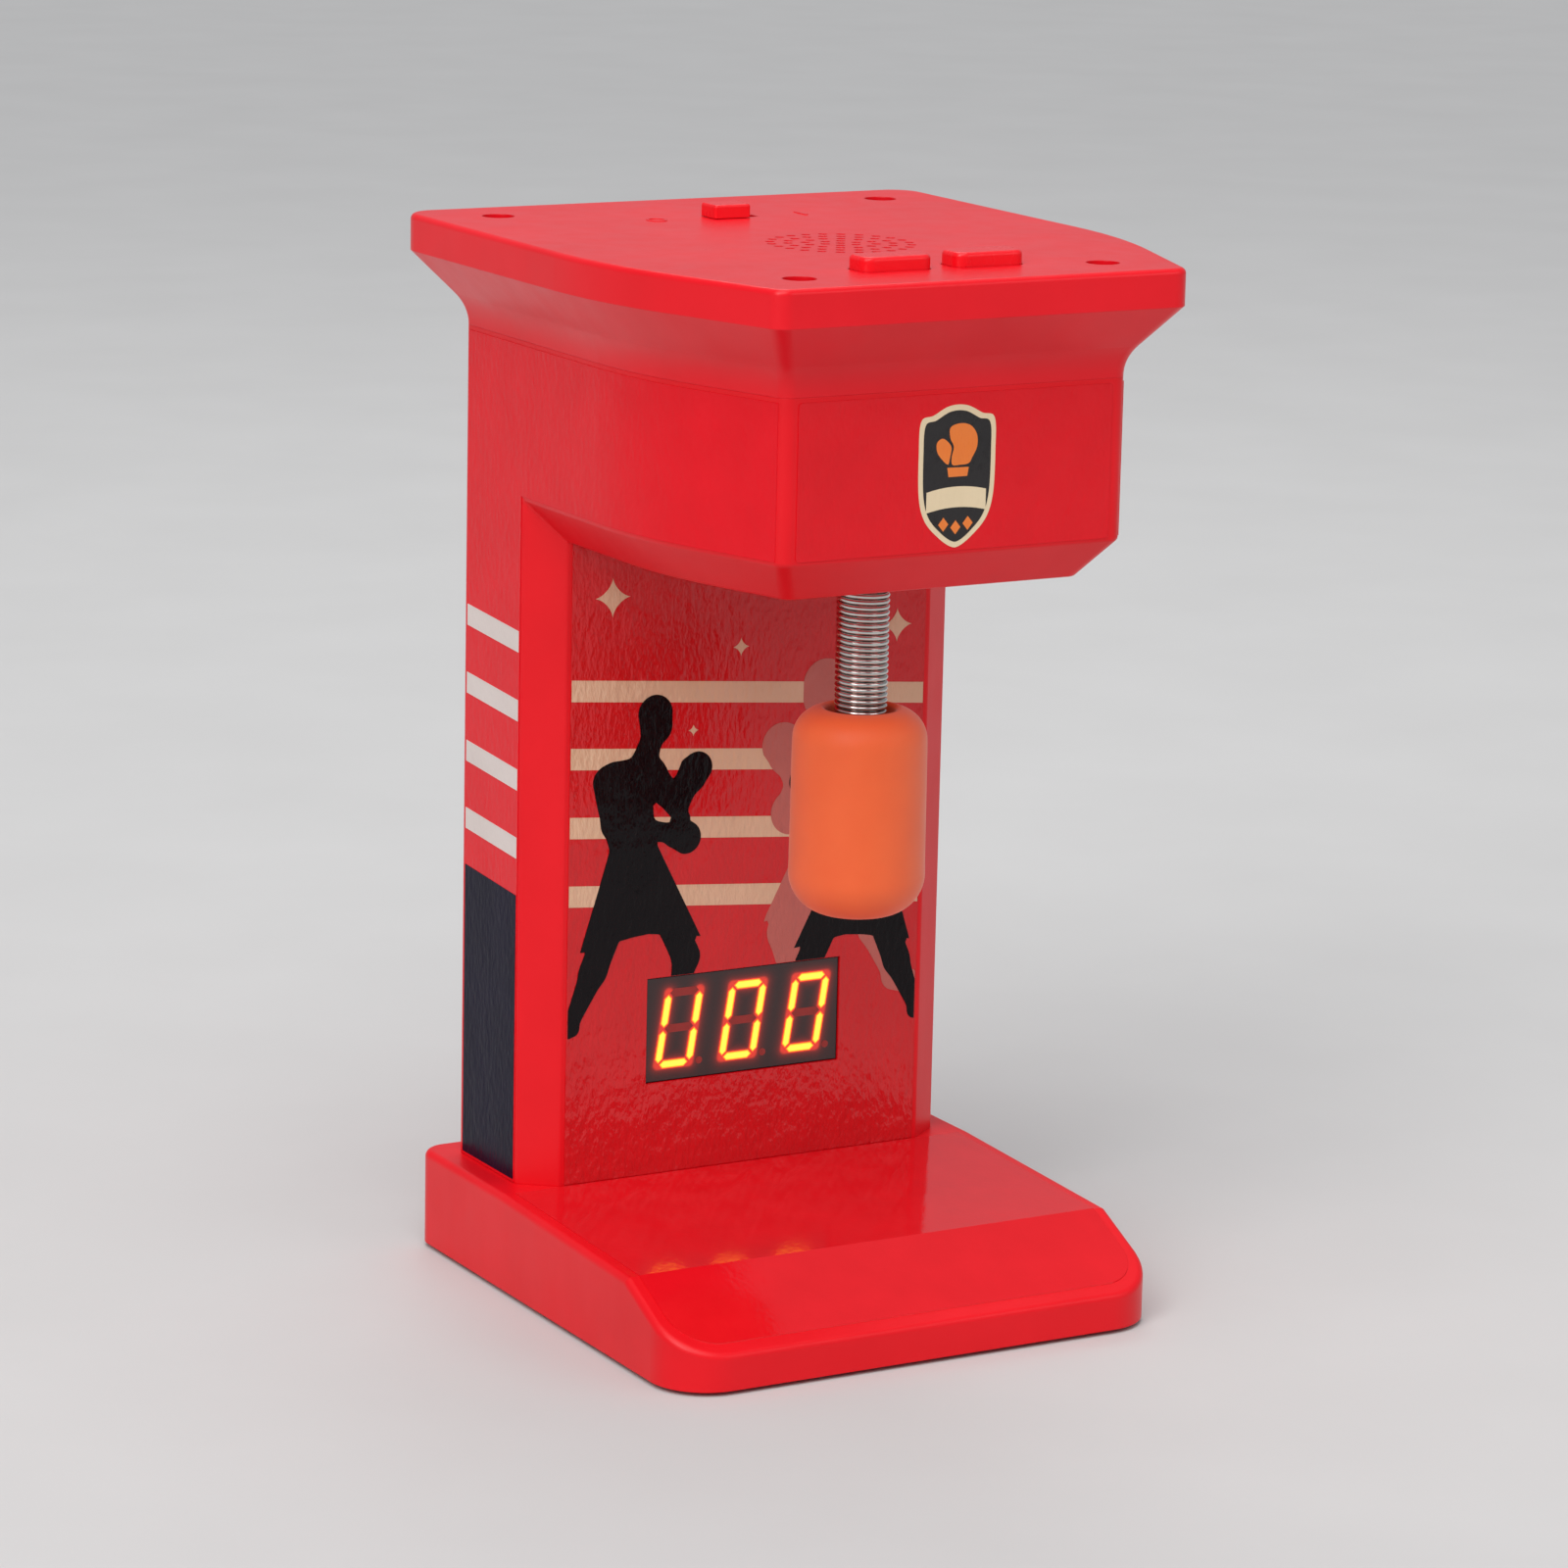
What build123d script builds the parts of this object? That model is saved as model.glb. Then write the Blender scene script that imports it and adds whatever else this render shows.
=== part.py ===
from build123d import *
import math
import os

os.makedirs("parts", exist_ok=True)

# Tabletop boxing punch machine. Millimetres, +Z up, player in front at -Y.
# The origin is on the resting surface, under the middle of the overall box.

# ---- heights of the main blocks
top_z = 184.0                 # flat top of the cap
cap_height = 18.7             # cap, from its seam on the head to its top
head_height = 33.9            # head, from its flat underside to the seam
seam_z = top_z - cap_height
head_under_z = seam_z - head_height

# ---- cabinet: column and head
wall = 2.2                    # moulded wall of every red shell
body_half_width = 42.0        # column and rear of the head
body_back_y = 47.3            # rear face of column and head
head_front_y = -47.3          # front face of the head
head_narrowing = 10.1         # head's front face, narrower than the rear, at each side
head_front_half_width = body_half_width - head_narrowing
head_taper = 18.0             # plan angle of the tapering sides, degrees
bend_radius = 88.0            # plan radius where the straight side turns into the taper
front_corner_r = 2.4          # vertical front corners of the head
back_corner_r = 2.0           # vertical rear corners
panel_y = 19.45               # printed front face of the column
edge_bevel_width = 6.1        # bevel beside the panel, measured across the panel
edge_bevel_depth = 4.8        # the same bevel, measured along the side
head_bevel_height = 6.9       # bevel round the lower edge of the head
head_bevel_inset = edge_bevel_width  # so that the two bevels meet in a mitre
soft_edge_r = 0.8             # rounding along the edges of the bevels

# ---- cap
cap_overhang = 8.4            # how far the band stands out from the head
band_height = 6.3
cove_radius = 8.0             # hollow moulding under the band
cove_angle = 42.0             # where the hollow meets the slanted face, degrees
cap_front_corner_r = 3.0
cap_back_corner_r = 5.5
band_edge_r = 1.0
lip_depth = 3.0               # tongue of the cap that drops inside the head

# ---- base
foot_height = 0.8
base_side_ledge = 5.2         # base beyond the column, at each side
base_rear_ledge = 5.55        # base beyond the column, at the rear
base_half_width = body_half_width + base_side_ledge
base_front_y = head_front_y + 1.15
base_back_y = body_back_y + base_rear_ledge
base_height = 17.7            # top of the base under the column
base_crease_y = -26.75        # where the gentle top turns into the nose slope
base_crease_z = 16.0
base_nose_z = 7.0             # top of the low front wall
crease_r = 6.0
base_front_corner_r = 10.0
base_back_corner_r = 4.5
base_edge_r = 1.3
bottom_thickness = 1.8

# ---- spring and punch bag
bag_axis_y = -18.65
bag_drop = 24.1               # top of the bag below the head
bag_length = 35.4
bag_top_z = head_under_z - bag_drop
bag_bottom_z = bag_top_z - bag_length
bag_top_radius = 11.4
bag_bottom_radius = 11.6
bag_mouth_radius = 5.95
bag_shoulder_r = 5.4
bag_heel_r = 7.0
mouth_depth = 3.5
wire_d = 0.92
coil_pitch = 1.0
coil_outer_r = 4.5
coil_gap = 0.3                # spring to the plastic round it
spring_clearance = 1.5        # spring to the edge of the hole under the head
first_joint_z = head_under_z - 4.4  # highest of the four bending points
joint_step = 5.0
spring_grip = 20.0            # length of spring held inside the head above the first bend
bag_grip = 15.0               # length of spring below the last bend

# ---- controls in the cap
button_width = 13.0
button_depth = 6.5
button_corner_r = 2.0
button_rise = 2.4             # height above the cap
button_travel = 1.2
button_x = 8.65
button_y = head_front_y + 8.1
control_gap = 0.2             # gap round each button and stem
slider_y = 29.3
slider_mid_x = 0.8
slider_travel = 4.0
knob_width = 7.0
knob_depth = 5.3
knob_rise = 2.4

# ---- speaker
speaker_y = -8.3
speaker_d = 36.0
grille_hole_d = 1.6
grille_rings = 4
grille_pitch = 2.95

# ---- display
window_mid_z = 43.7
module_width = 38.2
module_height = 18.6
module_depth = 8.0
module_gap = 0.2
module_recess = 0.3
window_width = module_width + 2 * module_gap
window_height = module_height + 2 * module_gap
digit_height = 14.2
digit_width = 7.6
digit_pitch = 12.7
digit_slant = 9.0
segment_width = 1.45
segment_gap = 0.25
segment_depth = 0.5
point_d = 1.3

# ---- boards, batteries, fasteners
board_thickness = 1.6
cell_d = 14.2
cell_length = 49.5
cell_nub_d = 5.2
cell_nub_length = 1.0
cell_pitch = cell_d + 0.8
cell_gap = 0.35
bay_bottom_z = 66.4
bay_wall = 1.6
contact_thickness = 0.4
contact_spring_length = 3.4
door_margin = 2.0             # ledge round the battery bay that the door rests on
door_gap = 0.2
cover_half_width = body_half_width - 5.2
cover_bottom_z = base_height + 6.3
cover_top_z = seam_z - 7.3
cover_corner_r = 3.0
screw_d = 2.6
screw_hole_d = 2.8
screw_head_d = 4.8
screw_head_h = 1.7
post_d = 6.0
thin_post_d = 5.0             # posts for the small screws
small_head_d = 4.4
small_head_h = 1.4
flat_head_h = 0.95            # head of the screws that sit in counterbores
counterbore = 1.0             # depth of the counterbores in the base cover
cover_counterbore = 1.1       # depth of those in the back cover and the battery door
sticker = 0.15                # thickness of every printed sticker
skin_margin = 0.9             # bare edge round the stickers

inner_top_z = top_z - wall
base_floor_z = foot_height + bottom_thickness


# ---- outlines and small repeated shapes
def body_outline(z, grow=0.0, front_r=front_corner_r, back_r=back_corner_r):
    """Plan outline of the head, moved outwards by grow: straight sides, a long bend, a taper."""
    taper = math.radians(head_taper)
    half = body_half_width + grow
    back = body_back_y + grow
    front = head_front_y - grow
    front_half = head_front_half_width + grow * (1 - math.sin(taper)) / math.cos(taper)
    bend_y = front + (half - front_half) / math.tan(taper)
    points = [(front_half, front), (half, bend_y), (half, back)]
    mirrored = [(-x, y) for x, y in reversed(points)]
    with BuildSketch(Plane.XY.offset(z)) as outline:
        with BuildLine():
            Polyline(*points, *mirrored, close=True)
        make_face()
        rows = outline.vertices().group_by(Axis.Y)
        fillet(rows[0], radius=front_r)
        rows = [v for v in outline.vertices() if abs(v.Y - bend_y) < 0.01]
        fillet(rows, radius=bend_radius + grow)
        rows = outline.vertices().group_by(Axis.Y)
        fillet(rows[-1], radius=back_r)
    return outline.sketch


def column_outline(z, shrink=0.0):
    """Plan outline of the column, moved inwards by shrink, with its two front bevels."""
    half = body_half_width - shrink
    back = body_back_y - shrink
    front = panel_y + shrink
    side_y = panel_y + edge_bevel_depth + shrink * 0.4
    panel_half = body_half_width - edge_bevel_width - shrink * 0.6
    points = [(panel_half, front), (half, side_y), (half, back)]
    mirrored = [(-x, y) for x, y in reversed(points)]
    with BuildSketch(Plane.XY.offset(z)) as outline:
        with BuildLine():
            Polyline(*points, *mirrored, close=True)
        make_face()
        fillet(outline.vertices().group_by(Axis.Y)[-1], radius=back_corner_r)
    return outline.sketch


def base_outline(z, shrink=0.0):
    """Plan outline of the base, moved inwards by shrink."""
    with BuildSketch(Plane.XY.offset(z)) as outline:
        with Locations((0, (base_front_y + base_back_y) / 2)):
            Rectangle(2 * (base_half_width - shrink), base_back_y - base_front_y - 2 * shrink)
        fillet(outline.vertices().group_by(Axis.Y)[0], radius=base_front_corner_r - shrink)
        fillet(outline.vertices().group_by(Axis.Y)[-1], radius=base_back_corner_r - shrink)
    return outline.sketch


def base_profile(drop=0.0, bottom=foot_height):
    """Side profile of the base, its top lowered by drop, on the YZ plane."""
    slope = math.atan2(base_crease_z - base_nose_z, base_crease_y - base_front_y)
    nose_z = base_nose_z - drop / math.cos(slope)
    crease_z = base_crease_z - drop
    crease_y = base_front_y + (crease_z - nose_z) / math.tan(slope)
    with BuildSketch(Plane.YZ) as profile:
        with BuildLine():
            Polyline(
                (base_back_y, bottom),
                (base_back_y, base_height - drop),
                (panel_y, base_height - drop),
                (crease_y, crease_z),
                (base_front_y, nose_z),
                (base_front_y, bottom),
                close=True,
            )
        make_face()
        crease = [v for v in profile.vertices() if abs(v.Y - crease_y) < 0.01]
        fillet(crease, radius=crease_r - drop)
    return profile.sketch


def screw(length, head_d=screw_head_d, head_h=screw_head_h, shank_d=screw_d):
    """Pan-head screw with a cross recess, its head above Z = 0 and its shank below."""
    with BuildPart() as body:
        Cylinder(head_d / 2, head_h, align=(Align.CENTER, Align.CENTER, Align.MIN))
        fillet(body.edges().group_by(Axis.Z)[-1], radius=head_h * 0.45)
        Cylinder(shank_d / 2, length, align=(Align.CENTER, Align.CENTER, Align.MAX))
        chamfer(body.edges().group_by(Axis.Z)[0], length=shank_d * 0.3)
        with Locations((0, 0, head_h)):
            for turn in (0, 90):
                Box(
                    head_d * 0.62,
                    head_d * 0.14,
                    head_h,
                    rotation=(0, 0, turn),
                    mode=Mode.SUBTRACT,
                )
    return body.part


def coil_stack(top, turns):
    """Turns of the close-wound spring from Z = top downwards, each one a closed ring."""
    with BuildPart() as coils:
        for turn in range(turns):
            with Locations((0, bag_axis_y, top - (turn + 0.5) * coil_pitch)):
                Torus(coil_outer_r - wire_d / 2, wire_d / 2)
    return coils.part


def ring_points(radius, middle_y, angles):
    """Points on a circle round (0, middle_y), at the given angles in degrees."""
    return [
        (radius * math.cos(math.radians(a)), middle_y + radius * math.sin(math.radians(a)))
        for a in angles
    ]


def hole_grid(x, z):
    """The four corners of a rectangle with the given half sizes."""
    return [(side * x, level * z) for side in (-1, 1) for level in (-1, 1)]


def lies_level(edge, z):
    """Whether an edge lies wholly at one height."""
    box = edge.bounding_box()
    return abs(box.min.Z - z) < 0.01 and abs(box.max.Z - z) < 0.01


def save(piece, name):
    """Label a finished piece and write its own STEP file."""
    piece.label = name
    export_step(piece, f"parts/{name}.step")


facing_back = (-90, 0, 0)     # turns a screw built along Z so that its head looks to +Y
standing = (Align.CENTER, Align.CENTER, Align.MIN)
hanging = (Align.CENTER, Align.CENTER, Align.MAX)

# ---- base tray: sloping hollow base that the column stands on
bottom_screw_x = base_half_width - 9.2
bottom_screw_points = [
    (x, y)
    for x in (-bottom_screw_x, bottom_screw_x)
    for y in (base_front_y + 20.15, base_back_y - 8.85)
]
column_screw_x = body_half_width - 8.0
column_screw_points = [(x, panel_y + 11.55) for x in (-column_screw_x, column_screw_x)]
wire_slot = (24.0, 12.0)      # opening for the wires between column and base
with BuildPart() as base_tray:
    extrude(base_profile(), amount=base_half_width, both=True)
    extrude(base_outline(0), amount=top_z, mode=Mode.INTERSECT)
    rim = [
        edge
        for edge in base_tray.edges()
        if edge.center().Z > base_nose_z * 0.7
        and (
            abs(edge.center().X) > base_half_width - base_front_corner_r / 2
            or edge.center().Y < base_front_y + 0.5
            or edge.center().Y > base_back_y - 0.5
        )
        and edge.bounding_box().size.Z < base_height - foot_height - 3
    ]
    fillet(rim, radius=base_edge_r)
    with BuildPart(mode=Mode.PRIVATE) as hollow:
        extrude(base_profile(drop=wall, bottom=-1), amount=base_half_width, both=True)
        extrude(base_outline(-1, shrink=wall), amount=top_z, mode=Mode.INTERSECT)
    add(hollow.part, mode=Mode.SUBTRACT)
    with BuildPart(mode=Mode.PRIVATE) as posts:
        with Locations(*[(x, y, base_floor_z) for x, y in bottom_screw_points]):
            Cylinder(post_d / 2, base_height, align=(Align.CENTER, Align.CENTER, Align.MIN))
        extrude(base_profile(drop=wall / 2), amount=base_half_width, both=True, mode=Mode.INTERSECT)
        with Locations(*[(x, y, base_floor_z) for x, y in bottom_screw_points]):
            Cylinder(
                screw_hole_d / 2,
                base_crease_z - wall - base_floor_z - 2,
                align=(Align.CENTER, Align.CENTER, Align.MIN),
                mode=Mode.SUBTRACT,
            )
    add(posts.part)
    with Locations(*[(x, y, base_height) for x, y in column_screw_points]):
        Cylinder(screw_hole_d / 2, 3 * wall, mode=Mode.SUBTRACT)
    with Locations((0, (panel_y + body_back_y) / 2, base_height)):
        Box(*wire_slot, 3 * wall, mode=Mode.SUBTRACT)
save(base_tray.part, "base_tray")

# ---- flat cover under the base, with pockets for the feet
foot_x = base_half_width - 18.2
foot_points = [
    (x, y) for x in (-foot_x, foot_x) for y in (base_front_y + 11.15, base_back_y - 14.85)
]
foot_d = 10.0
foot_pocket = 0.6
with BuildPart() as base_cover:
    extrude(base_outline(foot_height, shrink=wall + 0.2), amount=bottom_thickness)
    with Locations(*[(x, y, foot_height) for x, y in foot_points]):
        Cylinder(
            foot_d / 2 + 0.1,
            foot_pocket,
            align=(Align.CENTER, Align.CENTER, Align.MIN),
            mode=Mode.SUBTRACT,
        )
    with Locations(*[(x, y, foot_height) for x, y in bottom_screw_points]):
        Cylinder(screw_hole_d / 2, 3 * bottom_thickness, mode=Mode.SUBTRACT)
        Cylinder(screw_head_d / 2 + 0.2, 2 * counterbore, mode=Mode.SUBTRACT)
save(base_cover.part, "base_cover")

with BuildPart() as rubber_feet:
    with Locations(*[(x, y, 0) for x, y in foot_points]):
        Cylinder(
            foot_d / 2,
            foot_height + foot_pocket,
            align=(Align.CENTER, Align.CENTER, Align.MIN),
        )
    chamfer(rubber_feet.edges().group_by(Axis.Z)[0], length=0.3)
save(rubber_feet.part, "rubber_feet")

facing_down = (180, 0, 0)     # turns a screw built along Z so that its head looks down
base_screw = screw(9.0, head_h=flat_head_h)
base_screw_places = [
    Location((x, y, foot_height + counterbore), facing_down) for x, y in bottom_screw_points
]
with BuildPart() as base_screws:
    with Locations(*base_screw_places):
        add(base_screw)
save(base_screws.part, "base_screws")

column_screw = screw(10.0)
column_screw_places = [
    Location((x, y, base_height - wall), facing_down) for x, y in column_screw_points
]
with BuildPart() as column_screws:
    with Locations(*column_screw_places):
        add(column_screw)
save(column_screws.part, "column_screws")

# ---- cabinet shell: column and head in one moulding, open at the back, top and bottom
rear_cap_screw = (body_half_width - 4.3, body_back_y - 3.9)
front_cap_screw = (head_front_half_width - 3.5, head_front_y + 2.6)
rear_cap_points = [(side * rear_cap_screw[0], rear_cap_screw[1]) for side in (-1, 1)]
front_cap_points = [(side * front_cap_screw[0], front_cap_screw[1]) for side in (-1, 1)]
cap_screw_points = rear_cap_points + front_cap_points
cover_screw_x = cover_half_width - 3.3
cover_screw_points = [
    (x, z)
    for x in (-cover_screw_x, cover_screw_x)
    for z in (cover_bottom_z + 6.0, cover_top_z - 6.0)
]
head_floor_z = head_under_z + wall
hub_screw_radius = 13.0
hub_floor_z = head_floor_z + 6.0
hub_screw_points = ring_points(hub_screw_radius, bag_axis_y, (90, 210, 330))
rear_post_length = 24.0
cover_post_depth = 12.0
display_post_d = 4.4
board_face_y = panel_y + module_recess + module_depth
display_holes = hole_grid(module_width / 2 + 3.5, module_height / 2 - 0.8)
display_post_points = [(x, window_mid_z + z) for x, z in display_holes]
bevel_bottom = body_outline(head_under_z, grow=-head_bevel_inset)
bevel_top = body_outline(head_under_z + head_bevel_height)
inner_corner_r = 1.0
bevel_top_z = head_under_z + head_bevel_height
hollow_low = body_outline(
    head_floor_z,
    grow=-head_bevel_inset - wall * 0.6,
    front_r=inner_corner_r,
    back_r=inner_corner_r,
)
hollow_high = body_outline(
    bevel_top_z + 0.8, grow=-wall, front_r=inner_corner_r, back_r=inner_corner_r
)
with BuildPart() as cabinet_form:
    extrude(column_outline(base_height), amount=seam_z - base_height)
    loft([bevel_bottom, bevel_top], ruled=True)
    extrude(bevel_top, amount=seam_z - bevel_top_z)
    # the bevels' edges, from the foot of the column round the whole lower edge of the head
    bevel_back_y = panel_y + edge_bevel_depth + 1
    in_front = [edge for edge in cabinet_form.edges() if edge.center().Y < bevel_back_y]
    upper_rim = [edge for edge in in_front if lies_level(edge, bevel_top_z)]
    lower_rim = [
        edge
        for edge in in_front
        if lies_level(edge, head_under_z) and edge.center().Y < panel_y - 0.05
    ]
    uprights = [
        edge
        for edge in in_front
        if edge.bounding_box().size.Z > (head_under_z - base_height) * 0.9
        and abs(edge.center().X) > head_front_half_width - 1
    ]
    mitres = [
        edge
        for edge in in_front
        if edge.center().Y > panel_y and head_under_z < edge.center().Z < bevel_top_z - 0.1
    ]
    fillet(upper_rim + lower_rim + uprights + mitres, radius=soft_edge_r)
with BuildPart() as cabinet_shell:
    add(cabinet_form.part)
    extrude(column_outline(base_height - 1, shrink=wall), amount=top_z, mode=Mode.SUBTRACT)
    loft([hollow_low, hollow_high], ruled=True, mode=Mode.SUBTRACT)
    extrude(hollow_high, amount=top_z, mode=Mode.SUBTRACT)
    # display window
    with BuildSketch(Plane.XZ.offset(-panel_y + 1)):
        with Locations((0, window_mid_z)):
            Rectangle(window_width, window_height)
    extrude(amount=-3 * wall, mode=Mode.SUBTRACT)
    # hole that the spring hangs through
    with Locations((0, bag_axis_y, head_under_z)):
        Cylinder(coil_outer_r + spring_clearance, 4 * wall, mode=Mode.SUBTRACT)
    # posts for the cap screws, the spring hub, the display board and the back cover
    with BuildPart(mode=Mode.PRIVATE) as shell_posts:
        with Locations(*[(x, y, head_floor_z - 1) for x, y in front_cap_points]):
            Cylinder(post_d / 2, seam_z - head_floor_z + 1, align=standing)
        with Locations(*[(x, y, seam_z - rear_post_length) for x, y in rear_cap_points]):
            Cylinder(post_d / 2, rear_post_length, align=standing)
        with Locations(*[(x, y, head_floor_z - 1) for x, y in hub_screw_points]):
            Cylinder(post_d / 2, hub_floor_z - head_floor_z + 1, align=standing)
        with Locations(*[(x, board_face_y, z) for x, z in display_post_points]):
            Cylinder(
                display_post_d / 2,
                board_face_y - panel_y - wall / 2,
                rotation=(90, 0, 0),
                align=standing,
            )
        for x, z in cover_screw_points:
            side = math.copysign(1, x)
            with Locations((side * (body_half_width - wall / 2), body_back_y - wall, z)):
                Box(
                    body_half_width - wall / 2 - abs(x) + post_d / 2,
                    cover_post_depth,
                    8,
                    align=(Align.MAX if side > 0 else Align.MIN, Align.MAX, Align.CENTER),
                )
        for x, y in column_screw_points:
            side = math.copysign(1, x)
            with Locations((side * (body_half_width - wall / 2), y, base_height)):
                Box(
                    body_half_width - wall / 2 - abs(x) + post_d / 2,
                    post_d,
                    14,
                    align=(Align.MAX if side > 0 else Align.MIN, Align.CENTER, Align.MIN),
                )
        add(cabinet_form.part, mode=Mode.INTERSECT)
    add(shell_posts.part)
    # opening for the back cover
    with BuildSketch(Plane.XZ.offset(-body_back_y + wall)):
        with Locations((0, (cover_bottom_z + cover_top_z) / 2)):
            RectangleRounded(
                2 * (cover_half_width + door_gap),
                cover_top_z - cover_bottom_z + 2 * door_gap,
                cover_corner_r,
            )
    extrude(amount=-2 * wall, mode=Mode.SUBTRACT)
    with Locations(*[(x, y, seam_z) for x, y in cap_screw_points]):
        Cylinder(screw_hole_d / 2, 2 * 15, mode=Mode.SUBTRACT)
    with Locations(*[(x, y, hub_floor_z) for x, y in hub_screw_points]):
        Cylinder(screw_hole_d / 2, 2 * 6.5, mode=Mode.SUBTRACT)
    with Locations(*[(x, board_face_y, z) for x, z in display_post_points]):
        Cylinder(screw_hole_d / 2, 2 * 5.5, rotation=(90, 0, 0), mode=Mode.SUBTRACT)
    with Locations(*[(x, body_back_y - wall, z) for x, z in cover_screw_points]):
        Cylinder(screw_hole_d / 2, 2 * 9, rotation=(90, 0, 0), mode=Mode.SUBTRACT)
    with Locations(*[(x, y, base_height) for x, y in column_screw_points]):
        Cylinder(screw_hole_d / 2, 2 * 10, mode=Mode.SUBTRACT)
save(cabinet_shell.part, "cabinet_shell")

# ---- cap: flat top with a band, over a hollow moulding that meets the head
band_z = top_z - band_height
arc_steps = 4


def cove_section(step, inset=0.0, rise=0.0):
    """One level of the hollow moulding: step 0 is the seam, the last step ends its arc."""
    turn = math.radians(cove_angle) * step / arc_steps
    grow = cove_radius * (1 - math.cos(turn))
    blend = grow / cap_overhang
    return body_outline(
        seam_z + cove_radius * math.sin(turn) + rise,
        grow=grow - inset,
        front_r=front_corner_r + blend * (cap_front_corner_r - front_corner_r) - inset * 0.5,
        back_r=back_corner_r + blend * (cap_back_corner_r - back_corner_r) - inset * 0.5,
    )


def cap_section(z, inset=0.0):
    """Plan outline of the band, moved inwards by inset."""
    return body_outline(
        z,
        grow=cap_overhang - inset,
        front_r=cap_front_corner_r - inset * 0.5,
        back_r=cap_back_corner_r - inset * 0.5,
    )


def tongue_section(z, gap):
    """Plan outline of the tongue, a gap inside the head's inner wall."""
    return body_outline(z, grow=-wall - gap, front_r=inner_corner_r, back_r=inner_corner_r)


cove = [cove_section(step) for step in range(arc_steps + 1)]
cove_inside = [cove_section(step, inset=wall, rise=0.6) for step in range(arc_steps + 1)]
board_post_x = 20.0
button_board_z = top_z - 14.4  # upper face of the board under the buttons
slider_board_z = top_z - 13.4  # upper face of the board under the slide switch
slider_post_x = 13.0
speaker_rib_r = speaker_d / 2 + 0.2
speaker_rib_height = 5.0
speaker_screw_radius = speaker_rib_r + 3.2
speaker_screw_points = ring_points(speaker_screw_radius, speaker_y, (20, 160, 270))
cap_screw_seat_z = top_z - 8.0
stem_width = 3.0
stem_depth = 2.4
button_points = [(-button_x, button_y), (button_x, button_y)]
board_posts = [(x, button_y) for x in (-board_post_x, board_post_x)]
slider_posts = [(slider_mid_x + x, slider_y) for x in (-slider_post_x, slider_post_x)]
with BuildPart() as cap_form:
    loft(cove)
    loft([cove[-1], cap_section(band_z)], ruled=True)
    extrude(cap_section(band_z), amount=band_height)
    fillet(cap_form.faces().sort_by(Axis.Z)[-1].edges(), radius=band_edge_r)
with BuildPart() as cap:
    add(cap_form.part)
    with BuildPart(mode=Mode.PRIVATE) as cap_hollow:
        extrude(cove_inside[0], amount=-2.0)
        loft(cove_inside)
        loft([cove_inside[-1], cap_section(band_z + 0.6, inset=wall)], ruled=True)
        extrude(cap_section(band_z + 0.6, inset=wall), amount=inner_top_z - band_z - 0.6)
    add(cap_hollow.part, mode=Mode.SUBTRACT)
    # tongue inside the head, tubes for the cap screws, speaker rib and posts for the boards
    with BuildPart(mode=Mode.PRIVATE) as cap_posts:
        extrude(tongue_section(seam_z - lip_depth, 0.2), amount=lip_depth)
        extrude(tongue_section(seam_z, -0.8), amount=2.0)
        extrude(tongue_section(seam_z - lip_depth, 1.6), amount=lip_depth + 2.0, mode=Mode.SUBTRACT)
        with Locations(*[(x, y, seam_z - lip_depth) for x, y in cap_screw_points]):
            Box(post_d + 2.4, post_d + 2.4, lip_depth, align=standing, mode=Mode.SUBTRACT)
        with Locations((0, speaker_y, inner_top_z + 0.5)):
            Cylinder(speaker_rib_r + 1.6, speaker_rib_height + 0.5, align=hanging)
        with Locations(*[(x, y, inner_top_z + 0.5) for x, y in speaker_screw_points]):
            Cylinder(thin_post_d / 2, speaker_rib_height + 0.5, align=hanging)
        with Locations((0, speaker_y, inner_top_z)):
            Cylinder(speaker_rib_r, 3 * speaker_rib_height, mode=Mode.SUBTRACT)
        with Locations(*[(x, y, button_board_z) for x, y in board_posts]):
            Cylinder(thin_post_d / 2, inner_top_z - button_board_z + 0.5, align=standing)
        with Locations(*[(x, y, slider_board_z) for x, y in slider_posts]):
            Cylinder(thin_post_d / 2, inner_top_z - slider_board_z + 0.5, align=standing)
    with BuildPart(mode=Mode.PRIVATE) as screw_tubes:
        with Locations(*[(x, y, seam_z) for x, y in cap_screw_points]):
            Cylinder(post_d / 2 + 0.9, inner_top_z - seam_z + 0.5, align=standing)
        add(cap_form.part, mode=Mode.INTERSECT)
    add(cap_posts.part)
    add(screw_tubes.part)
    with Locations(*[(x, y, button_board_z) for x, y in board_posts]):
        Cylinder(screw_hole_d / 2, 2 * 7, mode=Mode.SUBTRACT)
    with Locations(*[(x, y, slider_board_z) for x, y in slider_posts]):
        Cylinder(screw_hole_d / 2, 2 * 7, mode=Mode.SUBTRACT)
    with Locations(*[(x, y, inner_top_z - speaker_rib_height) for x, y in speaker_screw_points]):
        Cylinder(screw_hole_d / 2, 2 * 4, mode=Mode.SUBTRACT)
    with Locations(*[(x, y, top_z) for x, y in cap_screw_points]):
        Cylinder(screw_head_d / 2 + 0.4, 2 * (top_z - cap_screw_seat_z), mode=Mode.SUBTRACT)
    with Locations(*[(x, y, seam_z) for x, y in cap_screw_points]):
        Cylinder(screw_hole_d / 2, 4 * cove_radius, mode=Mode.SUBTRACT)
    # openings in the flat top
    with BuildSketch(Plane.XY.offset(top_z + 1)):
        with Locations(*button_points):
            RectangleRounded(
                button_width + 2 * control_gap,
                button_depth + 2 * control_gap,
                button_corner_r + control_gap,
            )
        with Locations((slider_mid_x, slider_y)):
            Rectangle(stem_width + slider_travel + 2 * control_gap, stem_depth + 2 * control_gap)
        with Locations((0, speaker_y)):
            Circle(grille_hole_d / 2)
            for ring in range(1, grille_rings + 1):
                with PolarLocations(ring * grille_pitch, 6 * ring):
                    Circle(grille_hole_d / 2)
    extrude(amount=-wall - 1.5, mode=Mode.SUBTRACT)
save(cap.part, "cap")

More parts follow.
